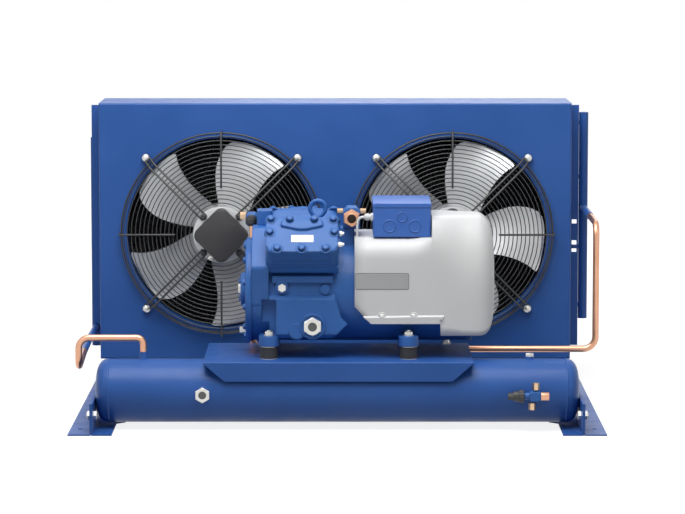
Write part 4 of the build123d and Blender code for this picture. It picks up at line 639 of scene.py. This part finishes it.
for one, two in zip(sections, sections[1:]):
    for low in range(len(one) - 1):
        shell.faces.new((one[low], one[low + 1], two[low + 1], two[low]))
shell.faces.new(sections[-1])
cover = fit("motor_cover_moulding", shell, grey, stands_for=["motor_cover"], sharp=34)
skin = cover.modifiers.new("wall", "SOLIDIFY")
skin.thickness, skin.offset = 0.003, -1

foot_step, cover_screws = bmesh.new(), bmesh.new()
strip = [(0.0555, 0.2525), (0.2365, 0.2545), (0.2345, 0.2435), (0.228, 0.2425), (0.228, 0.2335),
         (0.073, 0.2335)]
raised = [(x + (0.003 if x < 0.1 else -0.003), z - (0.0055 if z > 0.25 else 0)) for x, z in strip]
screw_z = 0.2508
for side, wall_y in ((-1, front_y), (1, back_y)):
    inner = [foot_step.verts.new((x, wall_y - side * 0.002, z)) for x, z in strip]
    outer = [foot_step.verts.new((x, wall_y + side * 0.0035, z)) for x, z in raised]
    foot_step.faces.new(inner)
    foot_step.faces.new(outer[::-1])
    for number in range(len(strip)):
        after = (number + 1) % len(strip)
        foot_step.faces.new((inner[number], inner[after], outer[after], outer[number]))
    for x in (0.098, 0.168):
        turn(foot_step, [(-0.002, 0.0085), (0.0016, 0.0085), (0.0026, 0.0078), (0.0026, 0.0052)],
             (x, wall_y, screw_z), (0, side, 0), 32)
        turn(cover_screws, [(0.001, 0.0048), (0.0034, 0.0046), (0.0042, 0.0036), (0.0042, 0.0018),
                            (0.003, 0.0016)], (x, wall_y, screw_z), (0, side, 0), 24)
fit("cover_foot_step", foot_step, grey, sharp=25)
fit("cover_screw_heads", cover_screws, zinc, stands_for=["motor_cover_screws"])

# Blank rating plate: bare brushed foil with a thin dark border, stuck low on the cover's front.
foil = Finish("blank_foil_plate", Metallic=0.35)
foil.coat((9.0,), (0.30, 0.305, 0.31), (0.37, 0.375, 0.38), 0.38, 0.1, (400.0, 0, 1, 3, (0.02, 1, 1)))
border = Finish("foil_plate_border")
border.coat((60.0,), (0.06, 0.062, 0.066), (0.09, 0.092, 0.096), 0.5, 0.1, (60.0,))
upright = Matrix.Translation((0, front_y, 0)) @ Matrix.Rotation(pi / 2, 4, "X")
rating, rim = bmesh.new(), bmesh.new()
plate_mid = (0.0985, 0.3275)
slab(rim, rounded(0.0590, 0.0182, 0.004, plate_mid), -0.0002, 0.0005, 0.0, 1, upright)
slab(rating, rounded(0.0580, 0.0172, 0.0035, plate_mid), -0.0002, 0.0007, 0.0, 1, upright)
fit("rating_plate_border", rim, border)
fit("blank_rating_plate", rating, foil)

# ---- Condenser: a fan cowl folded from 1.5 mm sheet stands in front of the coil, sprayed the frame's
# blue. Each opening has an inlet lip, rolled inward from the sheet.
dress(sheet_blue, "fan_cowl", "cowl_casing", "coil_end_plates", "gas_header", "liquid_header")
fan_joints = [joint for joint in frame["joints"] if joint["name"].startswith("fan_")]
fans = [(joint["child"], joint["pos_m"][0], joint["pos_m"][2]) for joint in fan_joints]
panel_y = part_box("fan_cowl")[0].y
lips = bmesh.new()
lip = ((0.0004, 0.2335), (-0.0014, 0.2325), (-0.0022, 0.2305), (-0.0016, 0.2285), (0.0, 0.2270),
       (0.004, 0.2258), (0.010, 0.2254), (0.034, 0.2254), (0.038, 0.2262), (0.038, 0.2282))
for body, fan_x, fan_z in fans:
    rings = []
    for along, radius in lip:
        rings.append([lips.verts.new((fan_x + radius * cos(2 * pi * step / 96), panel_y + along,
                                      fan_z + radius * sin(2 * pi * step / 96))) for step in range(96)])
    for one, two in zip(rings, rings[1:]):
        for step in range(96):
            after = (step + 1) % 96
            lips.faces.new((one[step], one[after], two[after], two[step]))
fit("inlet_lips", lips, sheet_blue, sharp=60)

# Coil: close-set aluminium fins pressed on rows of copper tubes, with hairpins and return bends
# outside the end plates. A dark core between the fins is painted shade for the coil's deep inside,
# where the tubes lie in shadow.
core_low, core_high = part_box("coil_fins")
fins = bmesh.new()
fin_count, edge = 330, 0.0004
for number in range(fin_count):
    x = core_low.x + edge + (core_high.x - core_low.x - 2 * edge) * number / (fin_count - 1)
    wave = 0.0003 * sin(number * 2.1)
    steps = [(core_low.y, x), (core_low.y + 0.012, x + wave), (core_high.y - 0.012, x - wave),
             (core_high.y, x)]
    lower = [fins.verts.new((across, y, core_low.z)) for y, across in steps]
    upper = [fins.verts.new((across, y, core_high.z)) for y, across in steps]
    for low in range(3):
        fins.faces.new((lower[low], lower[low + 1], upper[low + 1], upper[low]))
alloy = Finish("fin_aluminium", Metallic=0.85)
alloy.coat((9.0,), (0.6, 0.61, 0.62), (0.7, 0.71, 0.72), 0.38, 0.12, (60.0,))
fit("coil_fin_pack", fins, alloy, stands_for=["coil_fins"], sharp=20)
# Painted shade: a near-black core stands for the shadowed depth of the coil.
painted_coil_shade = Finish("coil_core_shade")
painted_coil_shade.coat((30.0,), (0.012, 0.013, 0.015), (0.022, 0.023, 0.025), 0.7, 0.2, (60.0,))
core = bmesh.new()
fin_lap, first_row = 0.016, 0.035
near, far = core_low.y + fin_lap, core_high.y - fin_lap
slab(core, [(core_low.x, near), (core_high.x, near), (core_high.x, far), (core_low.x, far)],
     core_low.z + 0.001, core_high.z - 0.001)
fit("coil_core", core, painted_coil_shade)
bends = bmesh.new()
plate_left, plate_right = core_low.x - 0.002, core_high.x + 0.002


def half_loop(mesh, centre, across, bow, radius):
    """A return bend: half a loop of tube between two holes, bowed out from the end plate."""
    sides, steps, rings = 10, 10, []
    for step in range(steps + 1):
        angle = pi * step / steps
        offset = Vector(across) * cos(angle) + Vector(bow) * sin(angle)
        middle, outward = Vector(centre) + offset, offset.normalized()
        side_way = Vector(across).cross(Vector(bow)).normalized()
        rings.append([mesh.verts.new(middle + outward * radius * cos(2 * pi * n / sides)
                                     + side_way * radius * sin(2 * pi * n / sides))
                      for n in range(sides)])
    for one, two in zip(rings, rings[1:]):
        for n in range(sides):
            after = (n + 1) % sides
            mesh.faces.new((one[n], one[after], two[after], two[n]))


half_pitch, bow, bend_y = 0.0256, 0.012, core_high.y - 0.012
for row in range(10):
    plate, out = (plate_right, bow) if row % 2 else (plate_left, -bow)
    height = core_low.z + first_row + half_pitch * (2 * row + 1)
    half_loop(bends, (plate, bend_y, height), (0, 0, half_pitch), (out, 0, 0), 0.0048)
fit("return_bends", bends, copper, sharp=60)

# Header ends: domes spun from copper tube and brazed shut, sprayed blue with the headers.
domes = bmesh.new()
gas_x, liquid_x = 0.592, -0.586
for node, x, y in (("gas_header", gas_x, 0.356), ("liquid_header", liquid_x, 0.376)):
    low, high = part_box(node)
    for z, way in ((low.z + 0.0005, 1), (high.z - 0.0005, -1)):
        turn(domes, [(0.0, 0.0062), (0.0002, 0.0085), (0.001, 0.0100), (0.0025, 0.01085),
                     (0.004, 0.01095), (0.006, 0.01095)], (x, y, z - 0.0005 * way), (0, 0, way), 32)
fit("header_ends", domes, sheet_blue)

# ---- Pipes: 15 mm copper, bent cold on a 24 mm former and brazed. Their lengths behind the
# compressor plate were sprayed blue with the frame.


def bent_tube(points, radii, radius):
    """A tube along straight runs with round bends, drawn as one curve."""
    data = bpy.data.curves.new("tube", "CURVE")
    data.dimensions = "3D"
    data.bevel_depth, data.bevel_resolution, data.use_fill_caps, data.resolution_u = radius, 6, True, 10
    spline = data.splines.new("BEZIER")
    places = [Vector(point) for point in points]
    knots = [(places[0], places[0].lerp(places[1], -0.1), places[0].lerp(places[1], 0.1))]
    for before, corner, after, bend in zip(places, places[1:], places[2:], radii):
        inward, outward = (before - corner).normalized(), (after - corner).normalized()
        opening = inward.angle(outward)
        cut = bend / abs(sin(opening / 2) / cos(opening / 2))
        reach = bend * 4 / 3 * abs(sin((pi - opening) / 4) / cos((pi - opening) / 4))
        first, last = corner + inward * cut, corner + outward * cut
        knots.append((first, first + inward * 0.004, first - inward * reach))
        knots.append((last, last - outward * reach, last + outward * 0.004))
    knots.append((places[-1], places[-1].lerp(places[-2], 0.1), places[-1].lerp(places[-2], -0.1)))
    spline.bezier_points.add(len(knots) - 1)
    for point, (place, left, right) in zip(spline.bezier_points, knots):
        point.co, point.handle_left, point.handle_right = place, left, right
    return data


run_y, run_z, rise_z, drop_z, pipe_r = -0.054, 0.137, 0.425, 0.134, 0.0075
pipes = [
    ("discharge_pipe_copper", [(discharge_x, -0.099, discharge_z), (discharge_x, run_y, discharge_z),
                               (discharge_x, run_y, run_z), (gas_x, run_y, run_z),
                               (gas_x, run_y, rise_z), (gas_x, 0.142, rise_z)],
     [0.024, 0.024, 0.028, 0.028], pipe_r, ["discharge_pipe"]),
    ("discharge_pipe_painted", [(gas_x, 0.138, rise_z), (gas_x, 0.350, rise_z)], [], 0.0088, []),
    ("liquid_pipe_copper", [(-0.5807, -0.067, drop_z), (-0.572, tank_y, drop_z),
                            (-0.572, tank_y, 0.199), (inlet_x, tank_y, 0.199),
                            (inlet_x, tank_y, 0.158)],
     [0.024, 0.024, 0.016], pipe_r, ["liquid_pipe"]),
    ("liquid_pipe_painted", [(liquid_x, 0.370, drop_z), (liquid_x, 0.206, drop_z),
                             (-0.5806, -0.070, drop_z)], [0.2], 0.0077, [])]
for name, route, radii, radius, nodes in pipes:
    bare = name.endswith("copper")
    fit(name, bent_tube(route, radii, radius), copper if bare else sheet_blue,
        stands_for=nodes)
elbow = bent_tube([(discharge_x, -0.172, 0.4465), (discharge_x, -0.120, 0.4465),
                   (discharge_x, -0.099, 0.4455)], [0.03], 0.0095)
fit("discharge_elbow", elbow, copper)

# ---- Fans: an external-rotor motor hangs on four double arms in a wire guard. The guard is
# resistance-welded from steel wire and powder coated dark grey, with plated screws in black feet.
guard_coat = Finish("guard_powder_coat", Coat_Weight=0.15)
guard_coat.coat((50.0,), (0.030, 0.031, 0.033), (0.045, 0.046, 0.048), 0.38, 0.1, (60.0,))
ring_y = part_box("fan_motor_caps")[1].y


def wheel_point(fan_x, fan_z, radius, turned, depth, across=0.0):
    """A place on the fan's face from its radius and turn, moved sideways by across."""
    c, s = cos(radians(turned)), sin(radians(turned))
    return (fan_x + radius * c - across * s, depth, fan_z + radius * s + across * c)


def round_wires(circles, radius):
    """Wire rings, each a closed curve of four Bezier quarters."""
    data = bpy.data.curves.new("rings", "CURVE")
    data.dimensions = "3D"
    data.bevel_depth, data.bevel_resolution, data.resolution_u = radius, 2, 14
    for x, y, z, ring_radius in circles:
        spline = data.splines.new("BEZIER")
        spline.bezier_points.add(3)
        spline.use_cyclic_u = True
        for number, point in enumerate(spline.bezier_points):
            angle = pi / 2 * number
            middle = Vector((x + ring_radius * cos(angle), y, z + ring_radius * sin(angle)))
            along = Vector((-sin(angle), 0, cos(angle))) * ring_radius * 0.5523
            point.co, point.handle_left, point.handle_right = middle, middle - along, middle + along
    return data


seat, button_r, button_high = 0.008, 0.0096, 0.0068
button = [(seat, button_r)] + [(seat + button_high * sin(pi / 16 * step),
                                button_r * cos(pi / 16 * step) + 0.0003) for step in range(1, 9)]
first_ring, ring_pitch, ring_wire, edge_wire, arm_wire = 0.0752, 0.00985, 0.00115, 0.0021, 0.0024
for body, fan_x, fan_z in fans:
    side_name = body.split("_")[1]
    circles = [(fan_x, ring_y + 0.0015, fan_z, first_ring + ring_pitch * number) for number in range(16)]
    circles += [(fan_x, ring_y + 0.013, fan_z, 0.2325)]
    fit("guard_rings_" + side_name, round_wires(circles, ring_wire), guard_coat,
        stands_for=["fan_guard_" + side_name])
    outer_ring = round_wires([(fan_x, ring_y + 0.0315, fan_z, 0.2390)], edge_wire)
    fit("guard_edge_" + side_name, outer_ring, guard_coat)
    spokes = []
    for turned in (0, 90, 180, 270):
        spokes.append([wheel_point(fan_x, fan_z, radius, turned, ring_y + back) for radius, back in
                       ((0.110, -0.0015), (0.234, -0.0015), (0.2415, 0.002), (0.2425, 0.034))])
    for turned in (45, 135, 225, 315):
        for across in (-0.0068, 0.0068):
            spokes.append([wheel_point(fan_x, fan_z, radius, turned, ring_y + back, across)
                           for radius, back in ((0.056, -0.0015), (0.228, -0.0015), (0.248, 0.031),
                                                (0.256, 0.0335))])
    fit("guard_spokes_and_arms_" + side_name, curve_line(spokes, arm_wire), guard_coat)
    feet, domes, screws = bmesh.new(), bmesh.new(), bmesh.new()
    for turned in (45, 135, 225, 315):
        foot = wheel_point(fan_x, fan_z, 0.254, turned, panel_y)
        turn(feet, [(0, 0.0095), (0.007, 0.0095), (0.0085, 0.0085)], foot, (0, -1, 0), 32)
        turn(domes, button, foot, (0, -1, 0), 32)
        inner = wheel_point(fan_x, fan_z, 0.0595, turned, ring_y - 0.001)
        turn(screws, [(0, 0.0075), (0.0025, 0.0075), (0.004, 0.006), (0.006, 0.0058), (0.0072, 0.0045)],
             inner, (0, -1, 0), 24)
    fit("guard_feet_" + side_name, feet, black)
    fit("guard_foot_screws_" + side_name, domes, zinc)
    fit("guard_arm_screws_" + side_name, screws, black)

# Motor: a die-cast flange on the guard's arms, a black terminal cap on its front with a screw recess
# and a plated gland, and the fixed core inside the rotor.
stator_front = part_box("fan_stators")[0].y
motors, caps, glands = bmesh.new(), bmesh.new(), bmesh.new()
diamond = Matrix.Rotation(pi / 2, 4, "X") @ Matrix.Rotation(pi / 4, 4, "Z")
for body, fan_x, fan_z in fans:
    turn(motors, [(0, 0.062), (0.001, 0.0665), (0.0045, 0.067), (0.0055, 0.066), (0.0057, 0.058),
                  (0.060, 0.057), (0.067, 0.056), (0.067, 0.0075)], (fan_x, stator_front, fan_z),
         (0, 1, 0), 80)
    on_cap = Matrix.Translation((fan_x, ring_y, fan_z)) @ diamond
    slab(caps, rounded(0.050, 0.050, 0.018), 0.0, 0.024, 0.0, 1, on_cap)
    slab(caps, rounded(0.0488, 0.0488, 0.017), 0.020, 0.028, 0.0035, 4, on_cap)
    recess = on_cap @ Vector((0.036, -0.004, 0.028))
    turn(caps, [(-0.001, 0.0062), (0.0003, 0.006), (0.0003, 0.0044), (-0.0006, 0.0042)], recess,
         (0, -1, 0), 24)
    gland_foot = on_cap @ Vector((-0.046, -0.020, 0.013))
    gland_way = on_cap.to_3x3() @ Vector((-1, 0, 0))
    turn(glands, [(0, 0.0085), (0.006, 0.0085), (0.007, 0.0075)], gland_foot, gland_way, 6)
    turn(glands, [(0.006, 0.007), (0.012, 0.007), (0.0145, 0.0055), (0.0145, 0.003)], gland_foot,
         gland_way, 24)
motor_cast = Finish("die_cast_motor", Metallic=0.6)
motor_cast.coat((30.0,), (0.5, 0.51, 0.52), (0.6, 0.61, 0.62), 0.42, 0.1, (60.0,))
fit("fan_motor_bodies", motors, motor_cast, stands_for=["fan_stators"])
fit("fan_terminal_caps", caps, black, stands_for=["fan_motor_caps"])
fit("fan_cable_glands", glands, zinc)

# Impellers: five pressed sickle blades welded to the spinning rotor can, painted silver grey.
blade_silver = Finish("silver_blade_paint", Metallic=0.35, Coat_Weight=0.2, Coat_Roughness=0.25)
blade_silver.coat((9.0,), (0.60, 0.61, 0.62), (0.68, 0.69, 0.70), 0.36, 0.12, (40.0,), (500.0, 0.00004))
blades = 5
# Blade sections: radius, leading and trailing edge and pitch in degrees, camber.
blade_table = [(0.0635, 97, 31, 29, 0.002), (0.084, 97.8, 39, 27, 0.005), (0.104, 98, 45, 25, 0.007),
               (0.125, 97.2, 48.4, 23, 0.009), (0.146, 96, 50, 21.5, 0.010), (0.166, 94, 50.4, 20, 0.011),
               (0.186, 91, 50, 18.5, 0.012), (0.202, 88, 49, 17, 0.012), (0.213, 85, 48, 16, 0.012),
               (0.2185, 82, 47.8, 15.5, 0.012), (0.2208, 77, 49.5, 15.2, 0.012)]
for body, fan_x, fan_z in fans:
    side_name = body.split("_")[1]
    wheel = bmesh.new()
    for number in range(blades):
        grid = []
        for radius, lead, trail, pitch, camber in blade_table:
            half_chord = radius * sin(radians(lead - trail) / 2)
            rise = half_chord * sin(radians(pitch)) / cos(radians(pitch))
            row = []
            for step in range(13):
                t = step / 12
                angle = radians(lead + (trail - lead) * t - 360 / blades * number)
                depth = rise * (1 - 2 * t) + camber * 4 * t * (1 - t)
                row.append((radius * cos(angle), depth, radius * sin(angle)))
            grid.append(row)
        front, rear = [[[wheel.verts.new((fan_x + x, panel_y + y + back, fan_z + z)) for x, y, z in row]
                        for row in grid] for back in (0.0009, 0.0031)]
        for sheet, flip in ((front, False), (rear, True)):
            for one, two in zip(sheet, sheet[1:]):
                for step in range(12):
                    corner = (one[step], one[step + 1], two[step + 1], two[step])
                    wheel.faces.new(corner[::-1] if flip else corner)
        edge_front = [row[0] for row in front] + front[-1][1:] + [row[-1] for row in front[-2::-1]]
        edge_rear = [row[0] for row in rear] + rear[-1][1:] + [row[-1] for row in rear[-2::-1]]
        for step in range(len(edge_front) - 1):
            wheel.faces.new((edge_front[step], edge_rear[step], edge_rear[step + 1],
                             edge_front[step + 1]))
    can_foot = (fan_x, stator_front + 0.0095, fan_z)
    turn(wheel, [(0.0, 0.0632), (0.0, 0.0672), (0.0015, 0.068), (0.060, 0.068), (0.0655, 0.0665),
                 (0.067, 0.060), (0.067, 0.020), (0.0672, 0.010)], can_foot, (0, 1, 0), 80)
    turn(wheel, [(0, 0.006), (0.060, 0.006)], can_foot, (0, 1, 0), 24)
    fit("impeller_wheel_" + side_name, wheel, blade_silver, body,
        ["impeller_" + side_name], sharp=38)
